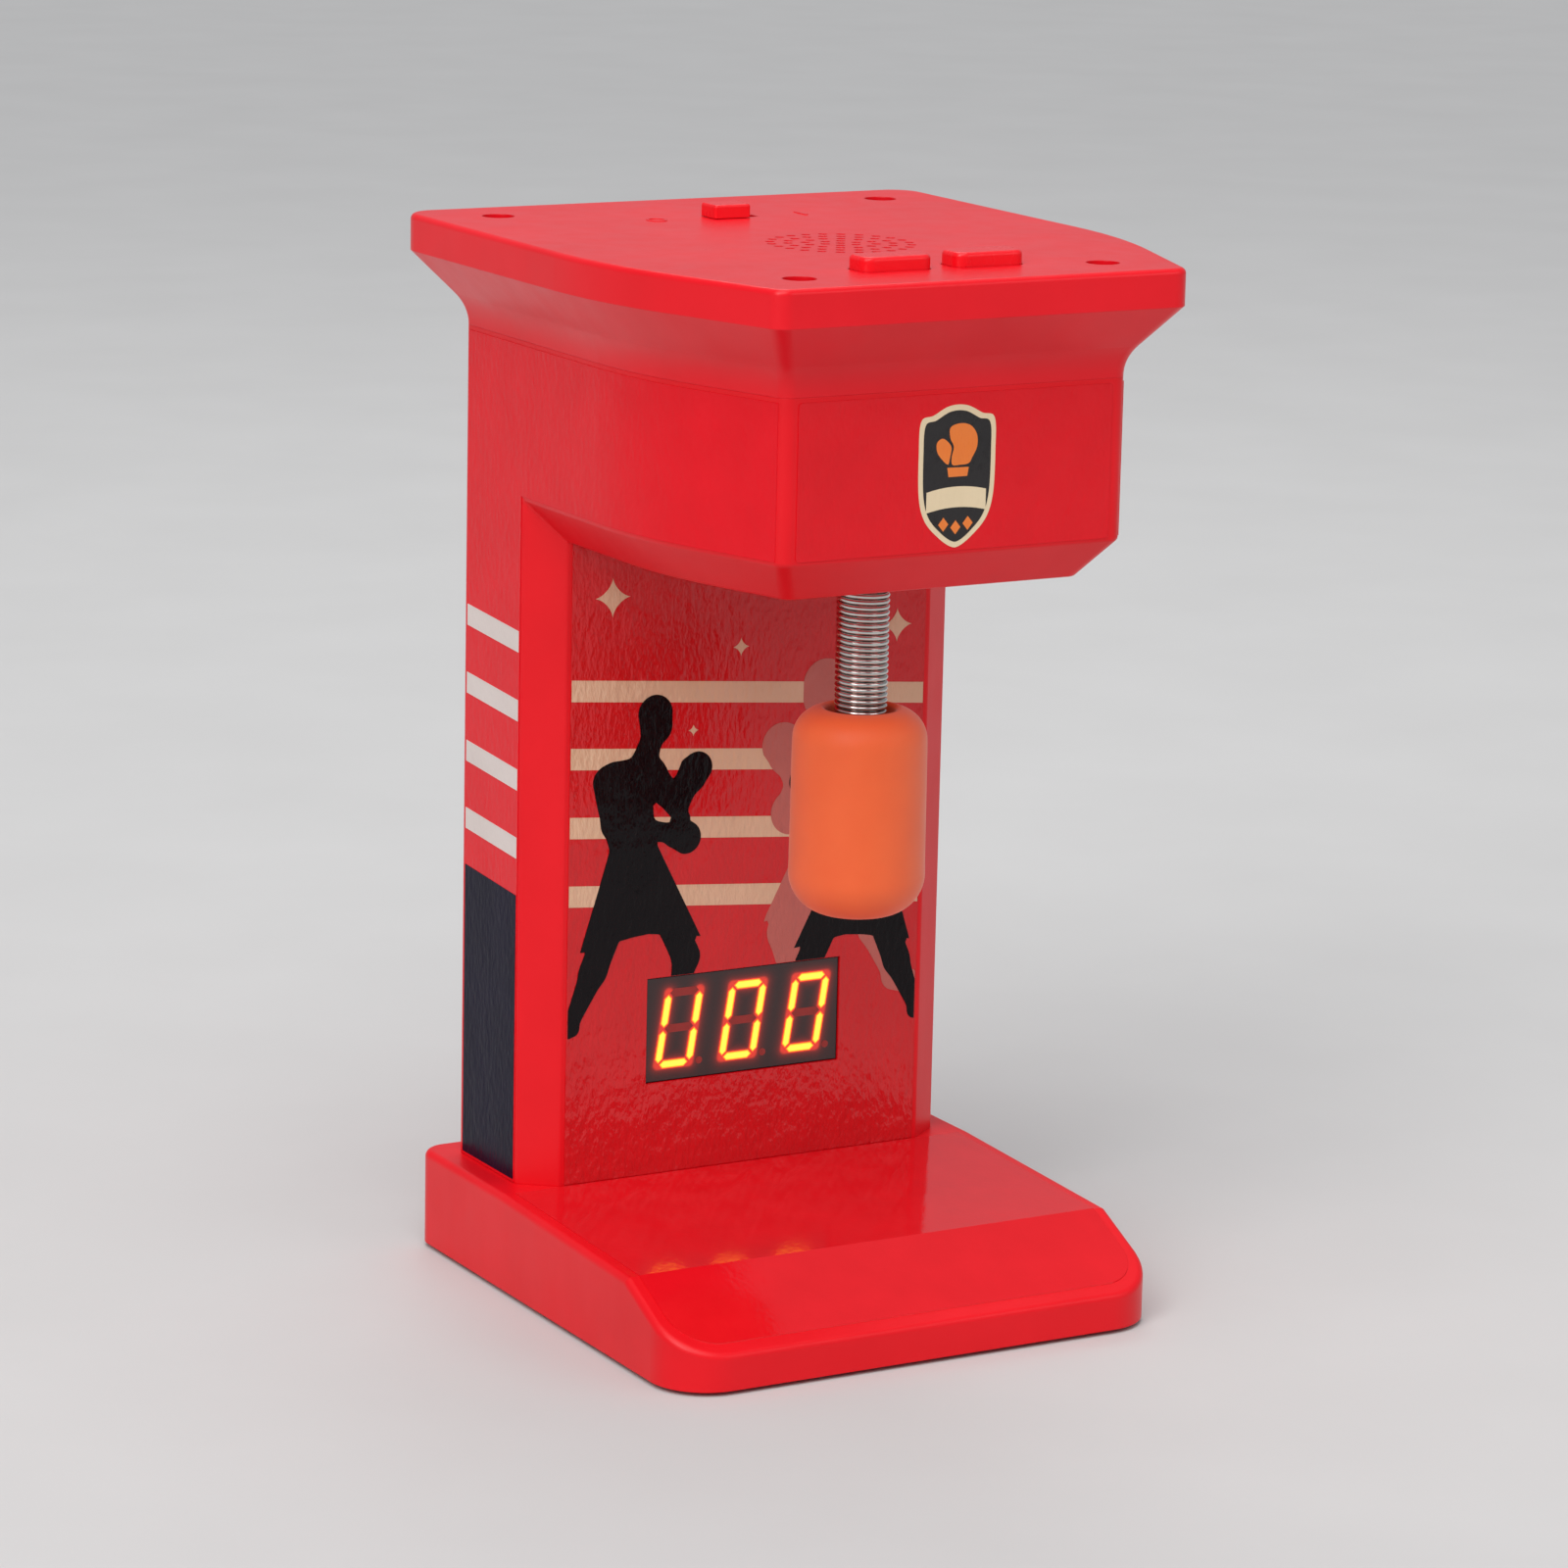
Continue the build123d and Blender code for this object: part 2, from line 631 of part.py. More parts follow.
cap_screw = screw(18.0)
with BuildPart() as cap_screws:
    with Locations(*[(x, y, cap_screw_seat_z) for x, y in cap_screw_points]):
        add(cap_screw)
save(cap_screws.part, "cap_screws")

# ---- two push buttons, each on a tactile switch
flange = 1.2                  # step that keeps a button in its hole
flange_thickness = 1.2
tact_height = 3.5
tact_nub_height = 2.2
plunger_d = 3.2
button_bottom_z = button_board_z + tact_height + tact_nub_height + button_travel + 0.1
for name, x in (("button_left", -button_x), ("button_right", button_x)):
    with BuildPart() as button:
        with BuildSketch(Plane.XY.offset(top_z + button_rise)):
            with Locations((x, button_y)):
                RectangleRounded(button_width, button_depth, button_corner_r)
        extrude(amount=-button_rise - wall - 1.0)
        fillet(button.faces().sort_by(Axis.Z)[-1].edges(), radius=0.7)
        with BuildSketch(Plane.XY.offset(inner_top_z - 0.1)):
            with Locations((x, button_y)):
                RectangleRounded(
                    button_width + 2 * flange, button_depth + 2 * flange, button_corner_r + flange
                )
        extrude(amount=-flange_thickness)
        with Locations((x, button_y, button_bottom_z)):
            Cylinder(plunger_d / 2, inner_top_z - button_bottom_z, align=standing)
    save(button.part, name)

with BuildPart() as tact_switches:
    with Locations(*[(x, y, button_board_z) for x, y in button_points]):
        Box(6.0, 6.0, tact_height, align=(Align.CENTER, Align.CENTER, Align.MIN))
    chamfer(tact_switches.edges().filter_by(Axis.Z), length=0.5)
    with Locations(*[(x, y, button_board_z + tact_height) for x, y in button_points]):
        Cylinder(plunger_d / 2 + 0.1, tact_nub_height, align=standing)
save(tact_switches.part, "tact_switches")


def board(width, depth, holes, face):
    """Printed circuit board below the plane face, with clearance holes at the given points."""
    with BuildPart() as blank:
        with BuildSketch(face):
            RectangleRounded(width, depth, 1.0)
            with Locations(*holes):
                Circle(screw_hole_d / 2, mode=Mode.SUBTRACT)
        extrude(amount=-board_thickness)
    return blank.part


button_board = board(
    2 * board_post_x + 8,
    2 * (button_y - head_front_y - wall) + 0.2,
    [(-board_post_x, 0), (board_post_x, 0)],
    Plane((0, button_y, button_board_z)),
)
save(button_board, "button_board")

small_screw = screw(7.0, head_d=small_head_d, head_h=small_head_h)

# ---- power slide switch
slider_rest_x = slider_mid_x - slider_travel / 2
can_width = 9.2
can_depth = 4.6
can_height = 3.6
lever_width = 1.6
lever_z = slider_board_z + can_height + 2.8
with BuildPart() as power_knob:
    with BuildSketch(Plane.XY.offset(top_z + knob_rise)):
        with Locations((slider_rest_x, slider_y)):
            RectangleRounded(knob_width, knob_depth, 0.5)
    extrude(amount=-knob_rise + 0.1)
    fillet(power_knob.faces().sort_by(Axis.Z)[-1].edges(), radius=0.4)
    with Locations((slider_rest_x, slider_y, lever_z)):
        Box(stem_width, stem_depth, top_z + 0.5 - lever_z, align=standing)
    with Locations((slider_rest_x, slider_y, inner_top_z - 0.1)):
        Box(stem_width + 5, stem_depth + 3, 1.0, align=hanging)
save(power_knob.part, "power_knob")

with BuildPart() as switch_lever:
    with Locations((slider_rest_x, slider_y, slider_board_z + 1.0)):
        Box(lever_width + 0.8, lever_width + 0.8, 1.6, align=standing)
        Box(lever_width, lever_width, lever_z - slider_board_z - 1.0, align=standing)
save(switch_lever.part, "switch_lever")

with BuildPart() as slide_switch:
    with Locations((slider_mid_x, slider_y, slider_board_z)):
        Box(can_width, can_depth, can_height, align=standing)
        with Locations((0, 0, 0.8)):
            Box(can_width - 1.2, can_depth - 1.2, 2.2, align=standing, mode=Mode.SUBTRACT)
        with Locations((0, 0, 2.0)):
            Box(
                lever_width + slider_travel + 0.6,
                lever_width + 0.6,
                can_height,
                align=standing,
                mode=Mode.SUBTRACT,
            )
save(slide_switch.part, "slide_switch")

slider_board = board(
    2 * slider_post_x + 8,
    10.0,
    [(-slider_post_x, 0), (slider_post_x, 0)],
    Plane((slider_mid_x, slider_y, slider_board_z)),
)
save(slider_board, "slider_board")

board_screw_places = [(x, y, button_board_z - board_thickness) for x, y in board_posts]
board_screw_places += [(x, y, slider_board_z - board_thickness) for x, y in slider_posts]
with BuildPart() as control_board_screws:
    with Locations(*[Location(place, facing_down) for place in board_screw_places]):
        add(small_screw)
save(control_board_screws.part, "control_board_screws")

# ---- speaker under the grille
frame_thickness = 1.2
basket_depth = 4.0
magnet_d = 18.0
magnet_depth = 5.0
basket_z = inner_top_z - frame_thickness - basket_depth
with BuildPart() as speaker_frame:
    with Locations((0, speaker_y, inner_top_z)):
        Cylinder(speaker_d / 2, frame_thickness, align=(Align.CENTER, Align.CENTER, Align.MAX))
    with Locations((0, speaker_y, inner_top_z - frame_thickness - basket_depth / 2)):
        Cone(magnet_d / 2 + 2, speaker_d / 2 - 3, basket_depth)
    with BuildSketch(Plane.XZ.offset(-speaker_y)):
        with BuildLine():
            Polyline(
                (0, inner_top_z + 1),
                (speaker_d / 2 - 2.5, inner_top_z + 1),
                (speaker_d / 2 - 2.5, inner_top_z - 0.6),
                (speaker_d / 2 - 4, inner_top_z - frame_thickness),
                (magnet_d / 2 + 1, basket_z + 1.0),
                (0, basket_z + 1.0),
                close=True,
            )
        make_face()
    revolve(axis=Axis((0, speaker_y, 0), (0, 0, 1)), mode=Mode.SUBTRACT)
save(speaker_frame.part, "speaker_frame")

with BuildPart() as speaker_cone:
    with BuildSketch(Plane.XZ.offset(-speaker_y)):
        with BuildLine():
            Polyline(
                (0, basket_z + 3.0),
                (2.6, basket_z + 2.6),
                (4.0, basket_z + 1.6),
                (speaker_d / 2 - 5, inner_top_z - 1.3),
                (speaker_d / 2 - 4, inner_top_z - 0.9),
                (speaker_d / 2 - 4, inner_top_z - 0.5),
                (speaker_d / 2 - 5.2, inner_top_z - 0.8),
                (4.2, basket_z + 2.3),
                (2.8, basket_z + 3.2),
                (0, basket_z + 3.6),
                close=True,
            )
        make_face()
    revolve(axis=Axis((0, speaker_y, 0), (0, 0, 1)))
save(speaker_cone.part, "speaker_cone")

with BuildPart() as speaker_magnet:
    with Locations((0, speaker_y, basket_z)):
        Cylinder(magnet_d / 2, magnet_depth, align=(Align.CENTER, Align.CENTER, Align.MAX))
    fillet(speaker_magnet.edges().group_by(Axis.Z)[0], radius=0.6)
save(speaker_magnet.part, "speaker_magnet")

clamp_z = inner_top_z - speaker_rib_height
clamp_thickness = 1.4
with BuildPart() as speaker_clamp:
    with Locations((0, speaker_y, clamp_z)):
        Cylinder(speaker_screw_radius + 2.6, clamp_thickness, align=hanging)
        Cylinder(
            speaker_rib_r - 0.2,
            speaker_rib_height - frame_thickness,
            align=(Align.CENTER, Align.CENTER, Align.MIN),
        )
        Cylinder(speaker_d / 2 - 2.0, 6 * speaker_rib_height, mode=Mode.SUBTRACT)
    with Locations(*[(x, y, clamp_z) for x, y in speaker_screw_points]):
        Cylinder(screw_hole_d / 2, 6, mode=Mode.SUBTRACT)
save(speaker_clamp.part, "speaker_clamp")

clamp_screw = screw(5.0, head_d=small_head_d, head_h=small_head_h)
clamp_screw_places = [
    Location((x, y, clamp_z - clamp_thickness), facing_down) for x, y in speaker_screw_points
]
with BuildPart() as speaker_screws:
    with Locations(*clamp_screw_places):
        add(clamp_screw)
save(speaker_screws.part, "speaker_screws")

# ---- spring hub inside the head
hub_flange = 2.4
flange_z = hub_floor_z + hub_flange
hub_outer_r = 8.0
hub_bore_r = coil_outer_r + coil_gap
grip_top_z = first_joint_z + spring_grip
hub_top_z = grip_top_z + 0.5 + 4.5
pin_r = coil_outer_r - wire_d - coil_gap / 2
pin_length = 12.0
disc_d = 15.0
disc_thickness = 0.3
with BuildPart() as spring_hub:
    with Locations((0, bag_axis_y, hub_floor_z)):
        Cylinder(hub_screw_radius + 3.2, hub_flange, align=standing)
    with Locations((0, bag_axis_y, head_floor_z + 0.5)):
        Cylinder(hub_outer_r, hub_top_z - head_floor_z - 0.5, align=standing)
        Cylinder(hub_bore_r, grip_top_z - head_floor_z, align=standing, mode=Mode.SUBTRACT)
    with Locations((0, bag_axis_y, hub_top_z)):
        Cylinder(screw_head_d / 2 + 0.3, 2 * (screw_head_h + 0.3), mode=Mode.SUBTRACT)
        Cylinder(screw_hole_d / 2, 4 * wall + 4, mode=Mode.SUBTRACT)
    with Locations(*[(x, y, flange_z) for x, y in hub_screw_points]):
        Cylinder(screw_hole_d / 2, 6, mode=Mode.SUBTRACT)
save(spring_hub.part, "spring_hub")

with BuildPart() as hub_screws:
    with Locations(*[(x, y, flange_z) for x, y in hub_screw_points]):
        add(small_screw)
save(hub_screws.part, "hub_screws")

with BuildPart() as spring_pin:
    with Locations((0, bag_axis_y, grip_top_z + 0.5)):
        Cylinder(pin_r, pin_length, align=hanging)
        chamfer(spring_pin.edges().group_by(Axis.Z)[0], length=0.6)
        Cylinder(screw_hole_d / 2, pin_length * 1.35, mode=Mode.SUBTRACT)
save(spring_pin.part, "spring_pin")

with BuildPart() as pin_screw:
    with Locations((0, bag_axis_y, hub_top_z - screw_head_h - 0.3)):
        add(screw(9.0))
save(pin_screw.part, "pin_screw")

with BuildPart() as hit_sensor:
    with Locations((0, bag_axis_y, hub_top_z)):
        Cylinder(disc_d / 2, disc_thickness, align=standing)
    with Locations((0, bag_axis_y, hub_top_z + disc_thickness)):
        Cylinder(disc_d / 3, disc_thickness, align=standing)
save(hit_sensor.part, "hit_sensor")

# ---- close-wound spring in five lengths, divided at its four bending points
joints_z = [first_joint_z - n * joint_step for n in range(4)]
link_turns = round(joint_step / coil_pitch)
save(coil_stack(grip_top_z, round(spring_grip / coil_pitch)), "spring_top_coils")
for name, start in zip(("spring_coils_a", "spring_coils_b", "spring_coils_c"), joints_z):
    save(coil_stack(start, link_turns), name)
save(coil_stack(joints_z[-1], round(bag_grip / coil_pitch)), "spring_bottom_coils")

# ---- punch bag: soft outer over a stiff core that holds the spring
core_r = hub_bore_r + 2.2
core_top_z = bag_top_z - mouth_depth
core_bottom_z = bag_bottom_z + 12.1
grip_bottom_z = joints_z[-1] - bag_grip
with BuildPart() as bag_core:
    with Locations((0, bag_axis_y, core_bottom_z)):
        Cylinder(core_r, core_top_z - core_bottom_z, align=standing)
    with Locations((0, bag_axis_y, grip_bottom_z - 0.3)):
        Cylinder(hub_bore_r, bag_grip + 5, align=standing, mode=Mode.SUBTRACT)
        Cylinder(pin_r, core_top_z - grip_bottom_z - 1.5, align=standing)
save(bag_core.part, "bag_core")

with BuildPart() as punch_bag:
    with BuildSketch(Plane.XZ.offset(-bag_axis_y)) as bag_half:
        with BuildLine():
            Polyline(
                (0, bag_bottom_z),
                (bag_bottom_radius, bag_bottom_z),
                (bag_top_radius, bag_top_z),
                (bag_mouth_radius, bag_top_z),
                (bag_mouth_radius, core_top_z),
                (core_r, core_top_z),
                (core_r, core_bottom_z),
                (0, core_bottom_z),
                close=True,
            )
        make_face()
        corners = [v for v in bag_half.vertices() if v.X > bag_top_radius - 1]
        fillet([v for v in corners if v.Y < bag_top_z - 1], radius=bag_heel_r)
        corners = [v for v in bag_half.vertices() if v.X > bag_top_radius - 1]
        fillet([v for v in corners if v.Y > bag_top_z - 1], radius=bag_shoulder_r)
    revolve(axis=Axis((0, bag_axis_y, 0), (0, 0, 1)))
save(punch_bag.part, "punch_bag")

# ---- back cover with the battery bay
cover_inner_y = body_back_y - wall
cell_points = [-cell_pitch, 0.0, cell_pitch]
bay_half_width = cell_pitch + cell_d / 2 + cell_gap
bay_height = cell_length + cell_nub_length + contact_spring_length + 2 * contact_thickness + 0.1
bay_top_z = bay_bottom_z + bay_height
bay_mid_z = (bay_bottom_z + bay_top_z) / 2
bay_floor_y = cover_inner_y - cell_d - 2 * cell_gap
door_half_width = bay_half_width + door_margin
door_height = bay_height + 2 * door_margin
main_post_length = 6.0
main_board_y = cover_inner_y - main_post_length
main_board_mid_z = window_mid_z - 2.7
main_board_size = (56.0, 32.0)
main_holes = hole_grid(main_board_size[0] / 2 - 4.0, main_board_size[1] / 2 - 4.0)
main_post_points = [(x, main_board_mid_z + z) for x, z in main_holes]
door_screw_z = bay_top_z + door_margin + 2.2
door_lug_r = 4.2
with BuildPart() as back_cover:
    with BuildSketch(Plane.XZ.offset(-body_back_y)):
        with Locations((0, (cover_bottom_z + cover_top_z) / 2)):
            RectangleRounded(
                2 * cover_half_width, cover_top_z - cover_bottom_z, cover_corner_r - door_gap
            )
    extrude(amount=wall)
    with Locations((0, cover_inner_y + 0.5, bay_mid_z)):
        Box(
            2 * (bay_half_width + bay_wall),
            cover_inner_y + 0.5 - bay_floor_y + bay_wall,
            bay_height + 2 * bay_wall,
            align=(Align.CENTER, Align.MAX, Align.CENTER),
        )
        Box(
            2 * (door_half_width + door_margin),
            3.0,
            door_height + 2 * door_margin,
            align=(Align.CENTER, Align.MAX, Align.CENTER),
        )
    with Locations((0, cover_inner_y + 0.5, door_screw_z)):
        Cylinder(door_lug_r + 1, 9.0, rotation=(90, 0, 0), align=standing)
    with Locations(*[(x, cover_inner_y + 0.5, z) for x, z in main_post_points]):
        Cylinder(thin_post_d / 2, main_post_length + 0.5, rotation=(90, 0, 0), align=standing)
    # bay, door opening and screw lug
    with Locations((0, body_back_y + 1, bay_mid_z)):
        Box(
            2 * bay_half_width,
            body_back_y + 1 - bay_floor_y,
            bay_height,
            align=(Align.CENTER, Align.MAX, Align.CENTER),
            mode=Mode.SUBTRACT,
        )
    with BuildSketch(Plane.XZ.offset(-body_back_y - 1)):
        with Locations((0, bay_mid_z)):
            RectangleRounded(2 * (door_half_width + door_gap), door_height + 2 * door_gap, 1.5)
        with Locations((0, door_screw_z)):
            Circle(door_lug_r + door_gap)
    extrude(amount=wall + 1, mode=Mode.SUBTRACT)
    with Locations((0, body_back_y, door_screw_z)):
        Cylinder(screw_hole_d / 2, 2 * (wall + 7.0), rotation=(90, 0, 0), mode=Mode.SUBTRACT)
    with Locations(*[(x, main_board_y, z) for x, z in main_post_points]):
        Cylinder(screw_hole_d / 2, 2 * 5.0, rotation=(90, 0, 0), mode=Mode.SUBTRACT)
    with Locations(*[(x, body_back_y, z) for x, z in cover_screw_points]):
        Cylinder(screw_hole_d / 2, 3 * wall, rotation=(90, 0, 0), mode=Mode.SUBTRACT)
        Cylinder(
            screw_head_d / 2 + 0.3,
            2 * cover_counterbore,
            rotation=(90, 0, 0),
            mode=Mode.SUBTRACT,
        )
save(back_cover.part, "back_cover")

screw_seat_y = body_back_y - cover_counterbore
cover_screw = screw(8.0, head_h=flat_head_h)
with BuildPart() as cover_screws:
    with Locations(*[Location((x, screw_seat_y, z), facing_back) for x, z in cover_screw_points]):
        add(cover_screw)
save(cover_screws.part, "cover_screws")

# ---- battery door, flush with the cover, held by one captive screw
grip_lines = 5                # shallow grooves for a thumb
with BuildPart() as battery_door:
    with BuildSketch(Plane.XZ.offset(-body_back_y)):
        with Locations((0, bay_mid_z)):
            RectangleRounded(2 * door_half_width, door_height, 1.3)
        with Locations((0, door_screw_z)):
            Circle(door_lug_r)
    extrude(amount=wall)
    with BuildSketch(Plane.XZ.offset(-body_back_y)):
        with Locations((0, bay_mid_z - door_height / 2 + 6)):
            for row in range(grip_lines):
                with Locations((0, row * 1.8)):
                    SlotOverall(16 - row * 2.4, 0.9)
    extrude(amount=0.5, mode=Mode.SUBTRACT)
    with Locations((0, body_back_y, door_screw_z)):
        Cylinder(screw_hole_d / 2, 3 * wall, rotation=(90, 0, 0), mode=Mode.SUBTRACT)
        Cylinder(
            screw_head_d / 2 + 0.3,
            2 * cover_counterbore,
            rotation=(90, 0, 0),
            mode=Mode.SUBTRACT,
        )
save(battery_door.part, "battery_door")

with BuildPart() as door_screw:
    with Locations(Location((0, screw_seat_y, door_screw_z), facing_back)):
        add(screw(6.0, head_h=flat_head_h))
save(door_screw.part, "door_screw")

# ---- three cells side by side, the middle one the other way up
cell_y = cover_inner_y - cell_gap - cell_d / 2
low_z = bay_bottom_z + contact_thickness
high_z = bay_top_z - contact_thickness
for number, x in enumerate(cell_points, start=1):
    flipped = number == 2
    bottom = low_z + (cell_nub_length + 0.1 if flipped else contact_spring_length)
    with BuildPart() as cell:
        with Locations((x, cell_y, bottom)):
            Cylinder(cell_d / 2, cell_length, align=standing)
        fillet(cell.edges(), radius=0.5)
        with Locations((x, cell_y, bottom if flipped else bottom + cell_length)):
            Cylinder(cell_nub_d / 2, cell_nub_length, align=hanging if flipped else standing)
    save(cell.part, f"battery_{number}")

contact_size = 9.0
with BuildPart() as battery_contacts:
    for x in cell_points:
        for z, seat in ((bay_bottom_z, standing), (bay_top_z, hanging)):
            with Locations((x, cell_y, z)):
                Box(contact_size, contact_size, contact_thickness, align=seat)
save(battery_contacts.part, "battery_contacts")

contact_turns = 4
turn_rise = (contact_spring_length - 0.8) / contact_turns
with BuildPart() as battery_springs:
    for number, x in enumerate(cell_points, start=1):
        for turn in range(contact_turns):
            rise = 0.4 + turn * (turn_rise + 0.1)
            z = high_z - rise if number == 2 else low_z + rise
            with Locations((x, cell_y, z)):
                Torus(3.6 - turn * 0.4, 0.3)
save(battery_springs.part, "battery_springs")

# ---- main board on the back cover, with its components towards the front
main_face = Plane((0, main_board_y, main_board_mid_z), x_dir=(1, 0, 0), z_dir=(0, 1, 0))
main_board = board(*main_board_size, main_holes, main_face)
save(main_board, "main_board")
component_y = main_board_y - board_thickness

main_screw = screw(6.0, head_d=small_head_d, head_h=small_head_h)
with BuildPart() as main_board_screws:
    with Locations(*[Location((x, component_y, z), (90, 0, 0)) for x, z in main_post_points]):
        add(main_screw)
save(main_board_screws.part, "main_board_screws")

with BuildPart() as controller_blob:
    with Locations((-9.0, component_y, main_board_mid_z - 6.0)):
        Cone(6.5, 4.0, 1.6, rotation=(90, 0, 0), align=standing)
    fillet(controller_blob.edges().sort_by(Axis.Y)[0], radius=0.8)
save(controller_blob.part, "controller_blob")

with BuildPart() as capacitors:
    for x in (7.0, 14.5):
        with Locations((x, component_y, main_board_mid_z - 9.5)):
            Cylinder(2.6, 5.5, rotation=(90, 0, 0), align=standing)
    fillet(capacitors.edges().group_by(Axis.Y)[0], radius=0.5)
save(capacitors.part, "capacitors")

with BuildPart() as wire_connectors:
    for x in (-16.0, 16.0):
        with Locations((x, component_y, main_board_mid_z + 8.0)):
            Box(7.0, 4.2, 4.5, align=(Align.CENTER, Align.MAX, Align.CENTER))
            with Locations((0, -4.2, 0)):
                Box(5.8, 3.0, 3.3, mode=Mode.SUBTRACT)
save(wire_connectors.part, "wire_connectors")

# ---- three-digit display behind the panel
module_face_y = panel_y + module_recess
half_height = digit_height / 2 - segment_width / 2
half_width = digit_width / 2 - segment_width / 2
lean = math.tan(math.radians(digit_slant))


def bar(x1, z1, x2, z2, face_y, depth):
    """One pointed segment between two corners of a leaning digit, cut back by the gap."""
    along_x, along_z = x2 - x1, z2 - z1
    length = math.hypot(along_x, along_z)
    ux, uz = along_x / length, along_z / length
    reach = segment_width / 2
    start, stop = segment_gap, length - segment_gap
    outward = [(start, 0), (start + reach, 1), (stop - reach, 1)]
    homeward = [(stop, 0), (stop - reach, -1), (start + reach, -1)]
    points = []
    for run, side in outward + homeward:
        x = x1 + ux * run - uz * side * reach
        z = z1 + uz * run + ux * side * reach
        points.append((x + z * lean, z))
    with BuildPart() as prism:
        with BuildSketch(Plane((0, face_y, window_mid_z), x_dir=(1, 0, 0), z_dir=(0, -1, 0))):
            with BuildLine():
                Polyline(*points, close=True)
            make_face()
        extrude(amount=-depth)
    return prism.part


digit_bars = {
    "a": (-half_width, half_height, half_width, half_height),
    "b": (half_width, 0, half_width, half_height),
    "c": (half_width, -half_height, half_width, 0),
    "d": (-half_width, -half_height, half_width, -half_height),
    "e": (-half_width, -half_height, -half_width, 0),
    "f": (-half_width, 0, -half_width, half_height),
    "g": (-half_width, 0, half_width, 0),
}
lit_bars = ("bcdef", "abcdef", "abcdef")
digit_centres = [(n - 1) * digit_pitch for n in range(3)]
point_x = digit_width / 2 + 1.3 - half_height * lean
with BuildPart() as segments_lit:
    for centre, lit in zip(digit_centres, lit_bars):
        for key in lit:
            x1, z1, x2, z2 = digit_bars[key]
            with Locations((centre, 0, 0)):
                add(bar(x1, z1, x2, z2, module_face_y, segment_depth))
save(segments_lit.part, "display_segments_lit")

point_places = [(x + point_x, module_face_y, window_mid_z - half_height) for x in digit_centres]
with BuildPart() as segments_dark:
    for centre, lit in zip(digit_centres, lit_bars):
        for key in digit_bars:
            if key not in lit:
                x1, z1, x2, z2 = digit_bars[key]
                with Locations((centre, 0, 0)):
                    add(bar(x1, z1, x2, z2, module_face_y, segment_depth))
    with Locations(*point_places):
        Cylinder(point_d / 2, segment_depth, rotation=(90, 0, 0), align=hanging)
save(segments_dark.part, "display_segments_dark")

with BuildPart() as display_module:
    with Locations((0, module_face_y, window_mid_z)):
        Box(module_width, module_depth, module_height, align=(Align.CENTER, Align.MIN, Align.CENTER))
    add(segments_lit.part, mode=Mode.SUBTRACT)
    add(segments_dark.part, mode=Mode.SUBTRACT)
save(display_module.part, "display_module")

header_y = board_face_y + board_thickness
display_face = Plane((0, header_y, window_mid_z), x_dir=(1, 0, 0), z_dir=(0, 1, 0))
display_board = board(module_width + 11.8, module_height + 5.4, display_holes, display_face)
save(display_board, "display_board")

with BuildPart() as display_board_screws:
    with Locations(*[Location((x, header_y, z), facing_back) for x, z in display_post_points]):
        add(main_screw)
save(display_board_screws.part, "display_board_screws")

with BuildPart() as board_header:
    with Locations((0, header_y, main_board_mid_z + 2.0)):
        Box(16.0, component_y - header_y, 2.5, align=(Align.CENTER, Align.MIN, Align.CENTER))
save(board_header.part, "board_header")

# ---- printed stickers
panel_half_width = body_half_width - edge_bevel_width
with BuildPart() as panel_sticker:
    with BuildSketch(Plane.XZ.offset(-panel_y)):
        with Locations((0, (base_height + head_under_z) / 2)):
            Rectangle(2 * (panel_half_width - skin_margin), head_under_z - base_height - 0.4)
        with Locations((0, window_mid_z)):
            Rectangle(window_width, window_height, mode=Mode.SUBTRACT)
    extrude(amount=sticker)
save(panel_sticker.part, "panel_sticker")

side_front_y = panel_y + edge_bevel_depth + 0.5
side_back_y = body_back_y - skin_margin - 1.2
head_low_z = bevel_top_z + 0.5
head_high_z = seam_z - 0.8
for name, side in (("side_sticker_left", -1), ("side_sticker_right", 1)):
    with BuildPart() as side_sticker:
        skin_bottom_z = base_height + 0.2
        extrude(body_outline(skin_bottom_z, grow=sticker), amount=head_high_z - skin_bottom_z)
        extrude(body_outline(base_height), amount=top_z, mode=Mode.SUBTRACT)
        with BuildPart(mode=Mode.PRIVATE) as reach:
            with BuildSketch(Plane.YZ.offset(20.0 * side)):
                with BuildLine():
                    Polyline(
                        (side_back_y, 0),
                        (side_back_y, head_high_z),
                        (head_front_y + 1.4, head_high_z),
                        (head_front_y + 1.4, head_low_z),
                        (side_front_y, head_low_z),
                        (side_front_y, 0),
                        close=True,
                    )
                make_face()
            extrude(amount=30.0 * side)
        add(reach.part, mode=Mode.INTERSECT)
    save(side_sticker.part, name)

with BuildPart() as head_sticker:
    with BuildSketch(Plane.XZ.offset(-head_front_y)):
        with Locations((0, (head_low_z + head_high_z) / 2)):
            RectangleRounded(
                2 * (head_front_half_width - front_corner_r), head_high_z - head_low_z, 0.6
            )
    extrude(amount=sticker)
save(head_sticker.part, "head_sticker")

inlay_inset = 2.6
with BuildPart() as base_sticker:
    extrude(base_profile(drop=-sticker), amount=base_half_width, both=True)
    extrude(base_profile(), amount=base_half_width, both=True, mode=Mode.SUBTRACT)
    extrude(base_outline(0, shrink=inlay_inset), amount=top_z, mode=Mode.INTERSECT)
    with Locations((0, panel_y - 0.5, base_height)):
        Box(
            3 * base_half_width,
            3 * base_half_width,
            base_height,
            align=(Align.CENTER, Align.MIN, Align.CENTER),
            mode=Mode.SUBTRACT,
        )
save(base_sticker.part, "base_sticker")
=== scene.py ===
import math

import bpy
import numpy as np
from mathutils import Matrix, Vector


